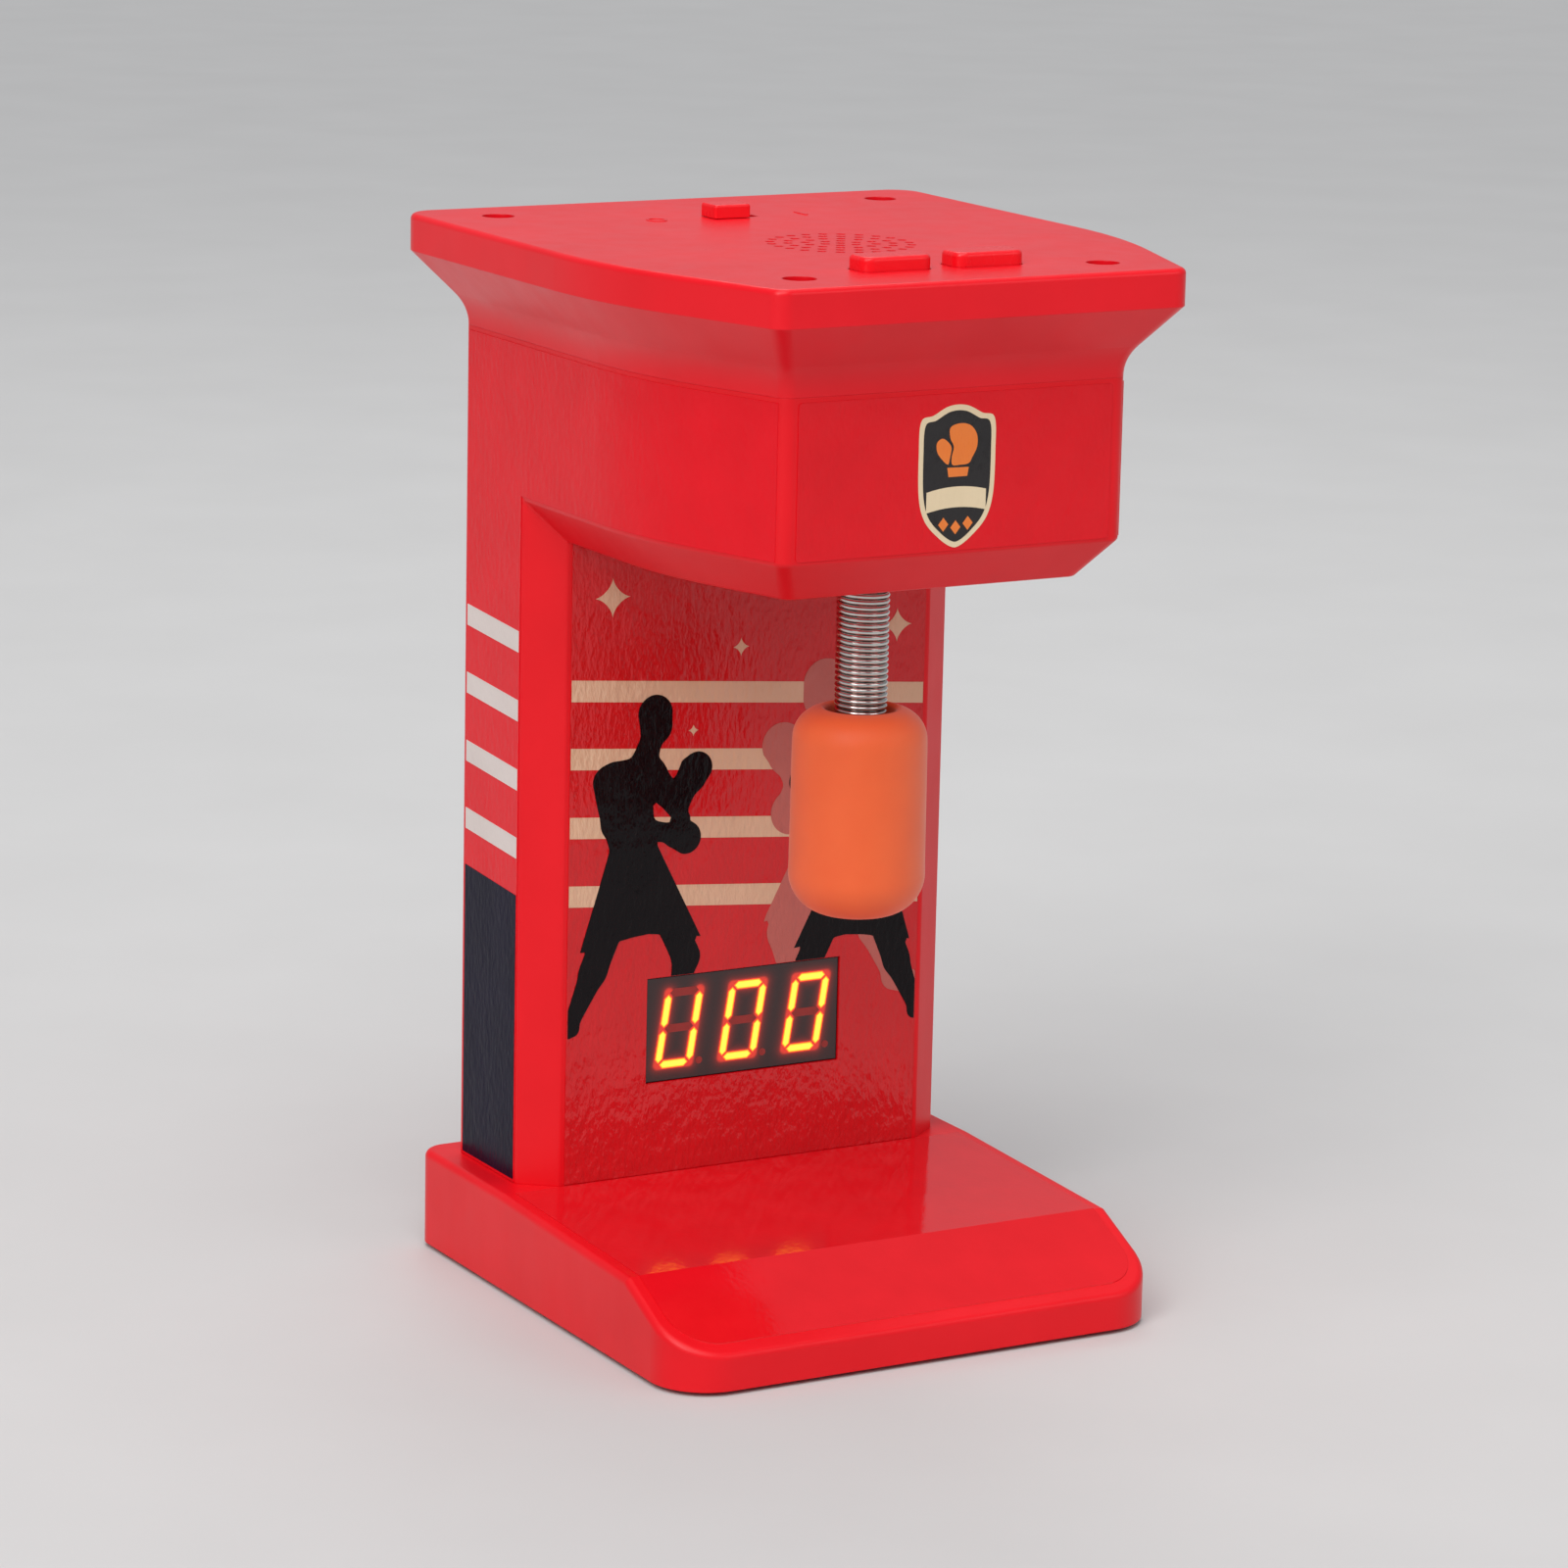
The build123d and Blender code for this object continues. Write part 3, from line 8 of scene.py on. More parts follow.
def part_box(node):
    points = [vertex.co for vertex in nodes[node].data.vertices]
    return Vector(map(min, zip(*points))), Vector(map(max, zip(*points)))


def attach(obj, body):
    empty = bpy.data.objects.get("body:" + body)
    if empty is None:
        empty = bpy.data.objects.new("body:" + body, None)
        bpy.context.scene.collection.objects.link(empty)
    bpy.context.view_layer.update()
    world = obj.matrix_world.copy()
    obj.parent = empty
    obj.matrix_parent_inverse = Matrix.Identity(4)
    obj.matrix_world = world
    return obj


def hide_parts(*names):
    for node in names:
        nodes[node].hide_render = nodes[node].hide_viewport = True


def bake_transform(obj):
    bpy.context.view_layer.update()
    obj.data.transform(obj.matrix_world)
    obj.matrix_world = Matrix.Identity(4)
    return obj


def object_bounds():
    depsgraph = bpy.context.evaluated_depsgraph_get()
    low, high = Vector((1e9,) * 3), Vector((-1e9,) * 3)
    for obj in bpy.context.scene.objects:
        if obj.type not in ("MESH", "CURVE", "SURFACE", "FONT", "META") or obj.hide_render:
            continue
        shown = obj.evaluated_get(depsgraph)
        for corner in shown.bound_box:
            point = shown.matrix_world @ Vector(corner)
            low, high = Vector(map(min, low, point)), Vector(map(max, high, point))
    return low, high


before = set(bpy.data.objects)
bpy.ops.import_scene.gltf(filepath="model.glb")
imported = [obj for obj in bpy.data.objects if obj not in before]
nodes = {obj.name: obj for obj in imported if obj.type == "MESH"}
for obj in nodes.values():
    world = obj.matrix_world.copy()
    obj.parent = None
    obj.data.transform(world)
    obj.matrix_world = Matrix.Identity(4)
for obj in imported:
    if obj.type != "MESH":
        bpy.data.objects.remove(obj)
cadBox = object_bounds()
mm = 0.001

print("frame loaded:", len(nodes), "nodes")


# Shader helpers

class Wire:
    # One output socket that takes part in sums; every operator adds a Math node.
    def __init__(self, finish, socket):
        self.finish = finish
        self.socket = socket

    def reckon(self, operation, first, second):
        return self.finish.add("Math", {"operation": operation}, {0: first, 1: second})

    def __add__(self, other):
        return self.reckon("ADD", self, other)

    __radd__ = __add__

    def __sub__(self, other):
        return self.reckon("SUBTRACT", self, other)

    def __rsub__(self, other):
        return self.reckon("SUBTRACT", other, self)

    def __mul__(self, other):
        return self.reckon("MULTIPLY", self, other)

    __rmul__ = __mul__

    def __pow__(self, other):
        return self.reckon("POWER", self, other)


class Finish:
    # One material: its node tree, its shader, and the method that makes any other node.
    def __init__(self, name, **shaderInputs):
        self.material = bpy.data.materials.new(name)
        self.material.use_nodes = True
        self.tree = self.material.node_tree
        self.tree.nodes.clear()
        self.shader = self.tree.nodes.new("ShaderNodeBsdfPrincipled")
        output = self.tree.nodes.new("ShaderNodeOutputMaterial")
        self.tree.links.new(self.shader.outputs[0], output.inputs[0])
        self.place = self.add("TexCoord", output="Object")
        self.feed(self.shader, shaderInputs)

    def feed(self, node, inputs):
        for key, value in inputs.items():
            socket = node.inputs[key]
            if isinstance(value, Wire):
                self.tree.links.new(value.socket, socket)
            else:
                socket.default_value = value

    def add(self, kind, settings=None, inputs=None, output=0):
        node = self.tree.nodes.new("ShaderNode" + kind)
        for key, value in (settings or {}).items():
            if key == "stops":
                ramp = node.color_ramp
                while len(ramp.elements) < len(value):
                    ramp.elements.new(0.5)
                for element, (position, colour) in zip(ramp.elements, value):
                    element.position = position
                    element.color = (*colour, 1)
            else:
                setattr(node, key, value)
        self.feed(node, inputs or {})
        return Wire(self, node.outputs[output])

    def noise(self, size, detail=2.0, stretch=(1, 1, 1)):
        # Blotches about size millimetres across, drawn out by stretch along each axis.
        scale = tuple(1 / (size * mm * s) for s in stretch)
        spread = self.add("Mapping", {}, {"Vector": self.place, "Scale": scale})
        return self.add("TexNoise", {}, {"Vector": spread, "Scale": 1.0, "Detail": detail})

    def tint(self, share, first, second):
        inputs = {0: share, 6: (*first, 1), 7: (*second, 1)}
        return self.add("Mix", {"data_type": "RGBA"}, inputs, output=2)

    def ramp(self, share, stops):
        return self.add("ValToRGB", {"stops": stops}, {0: share})

    def reading(self, name):
        return self.add("Attribute", {"attribute_name": name}, output="Fac")

    def rounded(self, radius):
        # Softens the hard edges of a moulding in its shading.
        return self.add("Bevel", {"samples": 6}, {"Radius": radius * mm})

    def relief(self, height, depth, under=None):
        inputs = {"Height": height, "Distance": depth * mm, "Strength": 1.0}
        if under is not None:
            inputs["Normal"] = under
        return self.add("Bump", {}, inputs, output="Normal")

    def shade(self, **inputs):
        self.feed(self.shader, {key.replace("_", " "): value for key, value in inputs.items()})
        return self.material


# Finishes

def mouldedPlastic(name, look):
    # Moulded plastic with a fine spark-eroded grain, slow colour drift and uneven gloss.
    finish = Finish(name, **{"Coat Weight": look.get("coat", 0.0), "Coat Roughness": 0.2,
                             "Specular IOR Level": look.get("gloss", 0.5)})
    drift = finish.noise(look.get("drift", 16.0), 3.0)
    grain = finish.noise(look["grain"], 3.0)
    smear = finish.noise(5.0, 4.0, (1, 1, 2.5))
    edge = finish.rounded(look.get("edge", 0.25))
    low, high = look["rough"]
    return finish.shade(
        Base_Color=finish.tint(drift, look["deep"], look["light"]),
        Roughness=smear * (high - low) + low,
        Normal=finish.relief(grain, look["depth"], edge),
    )


plastics = {
    "red_plastic": dict(deep=(0.70, 0.002, 0.007), light=(0.84, 0.005, 0.013), rough=(0.28, 0.44),
                        grain=0.22, depth=0.010, gloss=0.28),
    "cap_plastic": dict(deep=(0.72, 0.002, 0.008), light=(0.86, 0.005, 0.015), rough=(0.24, 0.40),
                        grain=0.25, depth=0.008, gloss=0.32),
    "control_plastic": dict(deep=(0.76, 0.003, 0.009), light=(0.88, 0.007, 0.016),
                            rough=(0.22, 0.34), grain=0.2, depth=0.005, gloss=0.36),
    "black_plastic": dict(deep=(0.012, 0.012, 0.013), light=(0.022, 0.022, 0.024),
                          rough=(0.35, 0.55), grain=0.25, depth=0.008),
    "core_plastic": dict(deep=(0.05, 0.012, 0.006), light=(0.09, 0.02, 0.01), rough=(0.4, 0.6),
                         grain=0.25, depth=0.008),
    "foot_rubber": dict(deep=(0.018, 0.018, 0.018), light=(0.035, 0.034, 0.033), rough=(0.7, 0.9),
                        grain=0.35, depth=0.03),
    "connector_white": dict(deep=(0.62, 0.58, 0.48), light=(0.74, 0.71, 0.62), rough=(0.35, 0.5),
                            grain=0.2, depth=0.006),
    "component_black": dict(deep=(0.010, 0.010, 0.011), light=(0.02, 0.02, 0.022),
                            rough=(0.28, 0.5), grain=0.3, depth=0.01),
    "magnet_ferrite": dict(deep=(0.035, 0.034, 0.033), light=(0.07, 0.068, 0.066),
                           rough=(0.45, 0.65), grain=0.15, depth=0.015),
    "cone_paper": dict(deep=(0.02, 0.02, 0.02), light=(0.045, 0.043, 0.04), rough=(0.75, 0.95),
                       grain=0.3, depth=0.04),
}


def workedMetal(name, look):
    # Metal with fine drawn lines, slight discoloration and varied polish.
    finish = Finish(name, Metallic=1.0)
    cloud = finish.noise(look.get("cloud", 3.0), 3.0)
    lines = finish.noise(0.5, 3.0, look.get("lines", (6, 6, 0.3)))
    low, high = look["rough"]
    return finish.shade(
        Base_Color=finish.tint(cloud, look["deep"], look["light"]),
        Roughness=lines * (high - low) + low,
        Normal=finish.relief(lines, look.get("depth", 0.004), finish.rounded(0.12)),
    )


metals = {
    "spring_chrome": dict(deep=(0.50, 0.48, 0.45), light=(0.72, 0.70, 0.67), rough=(0.08, 0.24)),
    "screw_steel": dict(deep=(0.40, 0.39, 0.37), light=(0.60, 0.59, 0.57), rough=(0.22, 0.42),
                        lines=(1, 1, 1)),
    "switch_steel": dict(deep=(0.50, 0.49, 0.46), light=(0.66, 0.65, 0.62), rough=(0.28, 0.45)),
    "speaker_steel": dict(deep=(0.42, 0.41, 0.39), light=(0.56, 0.55, 0.53), rough=(0.30, 0.5)),
    "sensor_brass": dict(deep=(0.62, 0.42, 0.16), light=(0.78, 0.57, 0.25), rough=(0.2, 0.4)),
    "contact_nickel": dict(deep=(0.55, 0.52, 0.47), light=(0.70, 0.68, 0.63), rough=(0.15, 0.35)),
}


def circuitBoard(name):
    # Green solder mask over a faint pattern of copper tracks.
    finish = Finish(name, **{"Coat Weight": 0.4, "Coat Roughness": 0.12})
    settings = {"voronoi_dimensions": "3D", "distance": "MANHATTAN"}
    track = finish.add("TexVoronoi", settings, {"Vector": finish.place, "Scale": 380.0})
    speckle = finish.noise(0.6, 2.0)
    return finish.shade(
        Base_Color=finish.tint(track * 1.6, (0.015, 0.10, 0.035), (0.04, 0.22, 0.08)),
        Roughness=speckle * 0.2 + 0.3,
        Normal=finish.relief(track, 0.03),
    )


def cellWrap(name):
    # Printed film of a battery cell: dark sleeve with a plain copper-coloured upper third.
    finish = Finish(name, **{"Coat Weight": 0.6, "Coat Roughness": 0.08})
    low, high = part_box("battery_1")
    height = finish.add("SeparateXYZ", {}, {0: finish.place}, output="Z")
    share = (height - low.z) * (1 / (high.z - low.z))
    stops = [(0.0, (0.6, 0.6, 0.6)), (0.012, (0.02, 0.02, 0.024)), (0.66, (0.02, 0.02, 0.024)),
             (0.665, (0.50, 0.20, 0.06)), (0.97, (0.55, 0.22, 0.07)), (0.975, (0.6, 0.6, 0.6))]
    return finish.shade(
        Base_Color=finish.ramp(share, stops),
        Roughness=finish.noise(2.0, 3.0) * 0.15 + 0.22,
        Normal=finish.relief(finish.noise(1.2, 2.0), 0.01),
    )


vinylLook = {"wave": 1.2, "waveDepth": 0.30, "swell": 5.0, "swellDepth": 0.30}


def printedVinyl(name, deep, light, wave=1.0, rough=(0.02, 0.07), gloss=0.42):
    # Glossy printed film: ink with a slight drift, and crinkles that break up reflections.
    finish = Finish(name, **{"Specular IOR Level": gloss})
    ink = finish.noise(9.0, 4.0)
    crinkle = finish.noise(vinylLook["wave"], 3.0, (0.8, 0.8, 1.8))
    swell = finish.noise(vinylLook["swell"], 1.0)
    waves = finish.relief(swell, vinylLook["swellDepth"] * wave)
    low, high = rough
    return finish.shade(
        Base_Color=finish.tint(ink, deep, light),
        Roughness=finish.noise(3.0, 4.0) * (high - low) + low,
        Normal=finish.relief(crinkle, vinylLook["waveDepth"] * wave, waves),
    )


inks = {
    "panel_print": dict(deep=(0.56, 0.006, 0.010), light=(0.66, 0.010, 0.014)),
    "side_print": dict(deep=(0.70, 0.003, 0.010), light=(0.82, 0.006, 0.016), wave=0.3,
                       rough=(0.16, 0.28), gloss=0.20),
    "head_print": dict(deep=(0.66, 0.004, 0.010), light=(0.78, 0.007, 0.015), wave=0.4,
                       rough=(0.08, 0.18), gloss=0.26),
    "base_print": dict(deep=(0.66, 0.004, 0.009), light=(0.78, 0.007, 0.014), wave=0.07,
                       rough=(0.05, 0.11)),
}


def displayGlass(name):
    # Dark red-black face of the module round its digits.
    finish = Finish(name, **{"Specular IOR Level": 0.1})
    return finish.shade(
        Base_Color=finish.tint(finish.noise(4.0), (0.010, 0.001, 0.002), (0.018, 0.002, 0.003)),
        Roughness=finish.noise(1.0, 3.0) * 0.1 + 0.22,
    )


finishes = {slot: mouldedPlastic(slot, look) for slot, look in plastics.items()}
finishes.update({slot: workedMetal(slot, look) for slot, look in metals.items()})
finishes.update({slot: printedVinyl(slot, **look) for slot, look in inks.items()})
finishes["board_green"] = circuitBoard("board_green")
finishes["cell_wrap"] = cellWrap("cell_wrap")
for slotName in ("display_face", "display_lit", "display_dark"):
    finishes[slotName] = displayGlass(slotName)
finishes["bag_rubber"] = finishes["core_plastic"]
for node in nodes.values():
    for place in node.material_slots:
        place.material = finishes[place.material.name.split(".")[0]]
print("materials:", len(finishes))


# Mesh helpers

def addMesh(name, points, faces, material, smooth=True, angle=35.0):
    # Points in millimetres, faces as lists of point numbers.
    mesh = bpy.data.meshes.new(name)
    mesh.from_pydata((np.asarray(points, float) * mm).tolist(), [], faces)
    mesh.validate()
    mesh.polygons.foreach_set("use_smooth", np.full(len(mesh.polygons), smooth))
    if smooth:
        mesh.set_sharp_from_angle(angle=math.radians(angle))
    mesh.materials.append(material)
    piece = bpy.data.objects.new(name, mesh)
    bpy.context.scene.collection.objects.link(piece)
    return piece


def gridFaces(rows, columns, wrap=True):
    # Quads between each row of points and the next; wrap joins the last column to the first.
    row, column = np.meshgrid(np.arange(rows - 1), np.arange(columns if wrap else columns - 1),
                              indexing="ij")
    after = (column + 1) % columns
    corners = [row * columns + column, row * columns + after,
               (row + 1) * columns + after, (row + 1) * columns + column]
    return np.stack(corners, axis=-1).reshape(-1, 4)


def revolved(name, profile, axis, material, segments=96):
    # Each profile point (r, z) is swept round the upright axis: x = r cos t, y = r sin t.
    # The first and the last point lie on the axis and close the shape.
    ring = np.asarray(profile[1:-1], float)
    turn = np.linspace(0, 2 * math.pi, segments, endpoint=False)
    points = np.stack([
        axis[0] + ring[:, :1] * np.cos(turn),
        axis[1] + ring[:, :1] * np.sin(turn),
        ring[:, 1:] + 0 * turn,
    ], axis=-1).reshape(-1, 3)
    faces = gridFaces(len(ring), segments).tolist()
    count = len(points)
    poles = [(axis[0], axis[1], profile[0][1]), (axis[0], axis[1], profile[-1][1])]
    first = np.arange(segments)
    after = (first + 1) % segments
    start = np.full(segments, count)
    faces += np.stack([start, after, first], axis=-1).tolist()
    last = (len(ring) - 1) * segments
    faces += np.stack([start + 1, last + first, last + after], axis=-1).tolist()
    return addMesh(name, np.vstack([points, poles]), faces, material)


def arc(centre, radius, start, end, steps):
    # Points on a circle from one angle to another, in degrees.
    turn = np.radians(np.linspace(start, end, steps))
    return np.array(centre) + radius * np.stack([np.cos(turn), np.sin(turn)], axis=-1)


def wireTube(name, path, radius, material, sides=12):
    # A round section carried along a path: across = path's own direction x upright.
    along = np.gradient(path, axis=0)
    along /= np.linalg.norm(along, axis=1)[:, None]
    across = np.cross(along, (0.0, 0.0, 1.0))
    across /= np.linalg.norm(across, axis=1)[:, None]
    third = np.cross(across, along)
    turn = np.linspace(0, 2 * math.pi, sides, endpoint=False)
    points = (path[:, None, :]
              + radius * np.cos(turn)[None, :, None] * across[:, None, :]
              + radius * np.sin(turn)[None, :, None] * third[:, None, :])
    faces = gridFaces(len(path), sides).tolist()
    faces.append(list(range(sides))[::-1])
    faces.append(list(range((len(path) - 1) * sides, len(path) * sides)))
    return addMesh(name, points.reshape(-1, 3), faces, material, angle=60.0)


class Surface:
    # A flat face of the object: an origin, two directions in it and the way it looks.
    def __init__(self, origin, across, up, out):
        self.origin, self.across, self.up, self.out = map(np.array, (origin, across, up, out))

    def at(self, flat, lift):
        flat = np.asarray(flat, float)
        return (self.origin + flat[:, :1] * self.across + flat[:, 1:] * self.up
                + lift * self.out)


def prisms(name, outlines, surface, low, high, material):
    # Flat shapes with thickness: each closed outline is carried from low to high above a face.
    points, faces = [], []
    for outline in outlines:
        count = len(outline)
        base = sum(len(part) for part in points)
        area = np.sum(outline[:, 0] * np.roll(outline[:, 1], -1)
                      - np.roll(outline[:, 0], -1) * outline[:, 1])
        hand = np.dot(np.cross(surface.across, surface.up), surface.out) * area
        outline = outline if hand > 0 else outline[::-1]
        points += [surface.at(outline, low), surface.at(outline, high)]
        lower = np.arange(base, base + count)
        upper = lower + count
        faces += [upper.tolist(), lower[::-1].tolist()]
        sides = [lower, np.roll(lower, -1), np.roll(upper, -1), upper]
        faces += np.stack(sides, axis=-1).tolist()
    return addMesh(name, np.vstack(points), faces, material, smooth=False)


def flowing(points, steps=6):
    # Closed Catmull-Rom curve through the points.
    p = np.asarray(points, float)
    before, after, beyond = np.roll(p, 1, 0), np.roll(p, -1, 0), np.roll(p, -2, 0)
    t = np.linspace(0, 1, steps, endpoint=False)[None, :, None]
    p, before, after, beyond = (q[:, None, :] for q in (p, before, after, beyond))
    curve = 0.5 * (2 * p + (after - before) * t
                   + (2 * before - 5 * p + 4 * after - beyond) * t ** 2
                   + (3 * p - before - 3 * after + beyond) * t ** 3)
    return curve.reshape(-1, 2)


def inkedField(name, field, low, high, cell, surface, base, top, material):
    # A flat print whose outline is where field(x, z) is zero. Grid points within one cell of
    # the outline are drawn onto it, and cells wholly inside are kept, with a front, back and rim.
    xs = np.arange(low[0], high[0] + cell, cell)
    zs = np.arange(low[1], high[1] + cell, cell)
    grid = np.stack(np.meshgrid(xs, zs, indexing="ij"), axis=-1)
    step = cell * 0.05
    for _ in range(3):
        value = field(grid)
        slope = np.stack([
            field(grid + (step, 0)) - field(grid - (step, 0)),
            field(grid + (0, step)) - field(grid - (0, step)),
        ], axis=-1) / (2 * step)
        slope /= np.maximum(np.linalg.norm(slope, axis=-1), 0.3)[..., None] ** 2
        near = np.abs(value) < cell * 0.72
        grid = grid - np.where(near[..., None], value[..., None] * slope, 0)
    inside = field(grid) < cell * 0.08
    quads = gridFaces(len(xs), len(zs), wrap=False)
    quads = quads[inside.reshape(-1)[quads].all(axis=1)]
    used, flat = np.unique(quads, return_inverse=True)
    quads = flat.reshape(quads.shape)
    points = grid.reshape(-1, 2)[used]
    hand = np.dot(np.cross(surface.across, surface.up), surface.out)
    front = quads if hand > 0 else quads[:, ::-1]
    edges = np.concatenate([front[:, [i, (i + 1) % 4]] for i in range(4)])
    key = np.sort(edges, axis=1)
    _, where, times = np.unique(key, axis=0, return_index=True, return_counts=True)
    rim = edges[where[times == 1]]
    count = len(points)
    sides = np.stack([rim[:, 1], rim[:, 0], rim[:, 0] + count, rim[:, 1] + count], axis=-1)
    faces = front.tolist() + (front[:, ::-1] + count).tolist() + sides.tolist()
    both = np.vstack([surface.at(points, top), surface.at(points, base)])
    return addMesh(name, both, faces, material, smooth=False)


def taperedLimb(p, limb):
    # Distance to a line from a to b, less a radius that runs from one end's to the other's.
    ax, az, ar, bx, bz, br = limb
    a, line = np.array((ax, az)), np.array((bx - ax, bz - az))
    t = np.clip(((p - a) @ line) / (line @ line), 0, 1)
    return np.linalg.norm(p - a - t[..., None] * line, axis=-1) - (ar + t * (br - ar))


def melted(distances, softness):
    # Smooth union: a soft minimum of several distances.
    total = sum(np.exp(-d / softness) for d in distances)
    return -softness * np.log(np.maximum(total, 1e-12))


def blockField(p, low, high):
    # Distance to a rectangle, negative inside.
    centre, half = (np.array(low) + high) / 2, (np.array(high) - low) / 2
    gap = np.abs(p - centre) - half
    return np.linalg.norm(np.maximum(gap, 0), axis=-1) + np.minimum(gap.max(axis=-1), 0)


# Spring: one close-wound helix, in four lengths

springLook = {
    "wire": 0.92,           # wire's diameter
    "pitch": 1.0,
    "stepsPerTurn": 30,
    "halfBend": 2.5,        # each bend is spread this far above and below its joint
}


def coilSpring():
    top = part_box("spring_top_coils")[1].z / mm
    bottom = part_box("spring_bottom_coils")[0].z / mm
    low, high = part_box("spring_coils_a")
    radius = (high.x - low.x) / 2 / mm - springLook["wire"] / 2
    axisY = (low.y + high.y) / 2 / mm
    firstJoint = high.z / mm
    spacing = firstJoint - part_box("spring_coils_b")[1].z / mm
    coils = ["spring_coils_a", "spring_coils_b", "spring_coils_c", "spring_bottom_coils"]
    divides = [firstJoint - (n + 0.5) * spacing for n in range(len(coils) - 1)]
    reach = springLook["wire"] / 2
    levels = [top - reach, *divides, bottom + reach]
    for n, coil in enumerate(coils):
        # z falls by one pitch each turn: x = r cos t, y = r sin t, z = start - pitch t / 2 pi
        turns = (levels[n] - levels[n + 1]) / springLook["pitch"]
        begin = (levels[0] - levels[n]) / springLook["pitch"]
        t = 2 * math.pi * (begin + np.linspace(0, turns, round(turns * springLook["stepsPerTurn"])))
        path = np.stack([
            radius * np.cos(t),
            axisY + radius * np.sin(t),
            levels[0] - springLook["pitch"] * t / (2 * math.pi),
        ], axis=-1)
        length = wireTube(f"spring_length_{n + 1}", path, reach, finishes["spring_chrome"])
        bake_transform(length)
        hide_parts(coil)
        if n == 0:
            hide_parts("spring_top_coils")


coilSpring()
print("spring made")


# Punch bag: soft moulded rubber over its core

bagLook = {
    "heel": 7.0,            # rounding of the lower edge
    "shoulder": 5.4,        # rounding of the upper edge
    "mouth": 5.95,          # radius of the mouth that the spring goes into
    "lip": 0.8,
    "mouthStep": 1.2,       # straight part of the mouth above the core
    "topNarrower": 0.2,
    "coreGap": 0.02,
    "deep": (0.80, 0.105, 0.022),
    "light": (0.90, 0.145, 0.036),
}


def bagRubber():
    # Matte soft rubber: slow colour drift, a powdery grain, and a faint sheen at grazing angles.
    finish = Finish("bag_rubber", **{
        "Sheen Weight": 0.22, "Sheen Roughness": 0.5, "Specular IOR Level": 0.35,
        "Subsurface Weight": 0.12, "Subsurface Radius": (1.0, 0.25, 0.1),
        "Subsurface Scale": 1.5 * mm,
    })
    powder = finish.noise(0.3, 3.0)
    return finish.shade(
        Base_Color=finish.tint(finish.noise(10.0, 4.0), bagLook["deep"], bagLook["light"]),
        Roughness=finish.noise(2.5, 4.0) * 0.16 + 0.46,
        Normal=finish.relief(powder, 0.014, finish.relief(finish.noise(9.0, 1.0), 0.12)),
    )


def punchBag():
    low, high = (np.array(corner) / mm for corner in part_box("punch_bag"))
    coreLow, coreHigh = (np.array(corner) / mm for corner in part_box("bag_core"))
    axis = ((low[0] + high[0]) / 2, (low[1] + high[1]) / 2)
    wide = (high[0] - low[0]) / 2
    narrow = wide - bagLook["topNarrower"]
    heel, shoulder, lip = bagLook["heel"], bagLook["shoulder"], bagLook["lip"]
    gap = bagLook["coreGap"]
    inside = (coreHigh[0] - coreLow[0]) / 2 + gap
    side = np.linspace(low[2] + heel, high[2] - shoulder, 14)[1:-1]
    share = (side - low[2]) / (high[2] - low[2])
    profile = np.vstack([
        [(0, low[2])],
        [((wide - heel) * 0.5, low[2])],
        arc((wide - heel, low[2] + heel), heel, -90, 0, 16),
        np.stack([wide - bagLook["topNarrower"] * share, side], axis=-1),
        arc((narrow - shoulder, high[2] - shoulder), shoulder, 0, 90, 14)[:-1],
        arc((bagLook["mouth"] + lip, high[2] - lip), lip, 90, 180, 8),
        [(bagLook["mouth"], coreHigh[2] + bagLook["mouthStep"])],
        [(bagLook["mouth"], coreHigh[2] + gap), (inside, coreHigh[2] + gap)],
        [(inside, coreLow[2] - gap), (0, coreLow[2] - gap)],
    ])
    bag = revolved("punch_bag_skin", profile, axis, bagRubber(), segments=128)
    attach(bag, "bag")
    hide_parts("punch_bag")


punchBag()
print("punch bag made")


# Prints: the faces that they lie on and their inks

panelLow, panelHigh = (np.array(corner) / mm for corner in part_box("panel_sticker"))
windowLow, windowHigh = (np.array(corner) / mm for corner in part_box("display_module"))
panel = Surface((0, panelLow[1], 0), (1, 0, 0), (0, 0, 1), (0, -1, 0))
headFront = Surface((0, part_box("head_sticker")[0].y / mm, 0), (1, 0, 0), (0, 0, 1), (0, -1, 0))
inkRope = printedVinyl("ink_cream", (0.66, 0.42, 0.26), (0.76, 0.50, 0.33))
inkFigure = printedVinyl("ink_black", (0.003, 0.002, 0.003), (0.008, 0.005, 0.006), gloss=0.14)
inkShadow = printedVinyl("ink_rose", (0.46, 0.10, 0.08), (0.56, 0.15, 0.12))
panelLook = {"edge": 0.25, "windowEdge": 0.3, "cell": 0.42}


def onPanel(p):
    # Inside the panel's sticker and outside the display window.
    edge, rim = panelLook["edge"], panelLook["windowEdge"]
    within = blockField(p, (panelLow[0] + edge, panelLow[2] + edge),
                        (panelHigh[0] - edge, panelHigh[2] - edge))
    window = blockField(p, (windowLow[0] - rim, windowLow[2] - rim),
                        (windowHigh[0] + rim, windowHigh[2] + rim))
    return np.maximum(within, -window)


def slantedBand(left, right, top, height, rise):
    # Four corners of a band whose top is rise higher at its right end than at its left.
    return np.array([(left, top - height), (right, top - height + rise),
                     (right, top + rise), (left, top)])


ropeLook = {"tops": (107.4, 95.5, 83.4, 71.3), "height": 3.75, "slope": -0.085, "edge": 0.15,
            "lift": 0.05}


def ringRopes():
    left, right = panelLow[0] + ropeLook["edge"], panelHigh[0] - ropeLook["edge"]
    rise = ropeLook["slope"] * (right - left)
    bands = [slantedBand(left, right, top, ropeLook["height"], rise) for top in ropeLook["tops"]]
    ropes = prisms("panel_ropes", bands, panel, 0.0, ropeLook["lift"], inkRope)
    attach(ropes, "cabinet")


ringRopes()

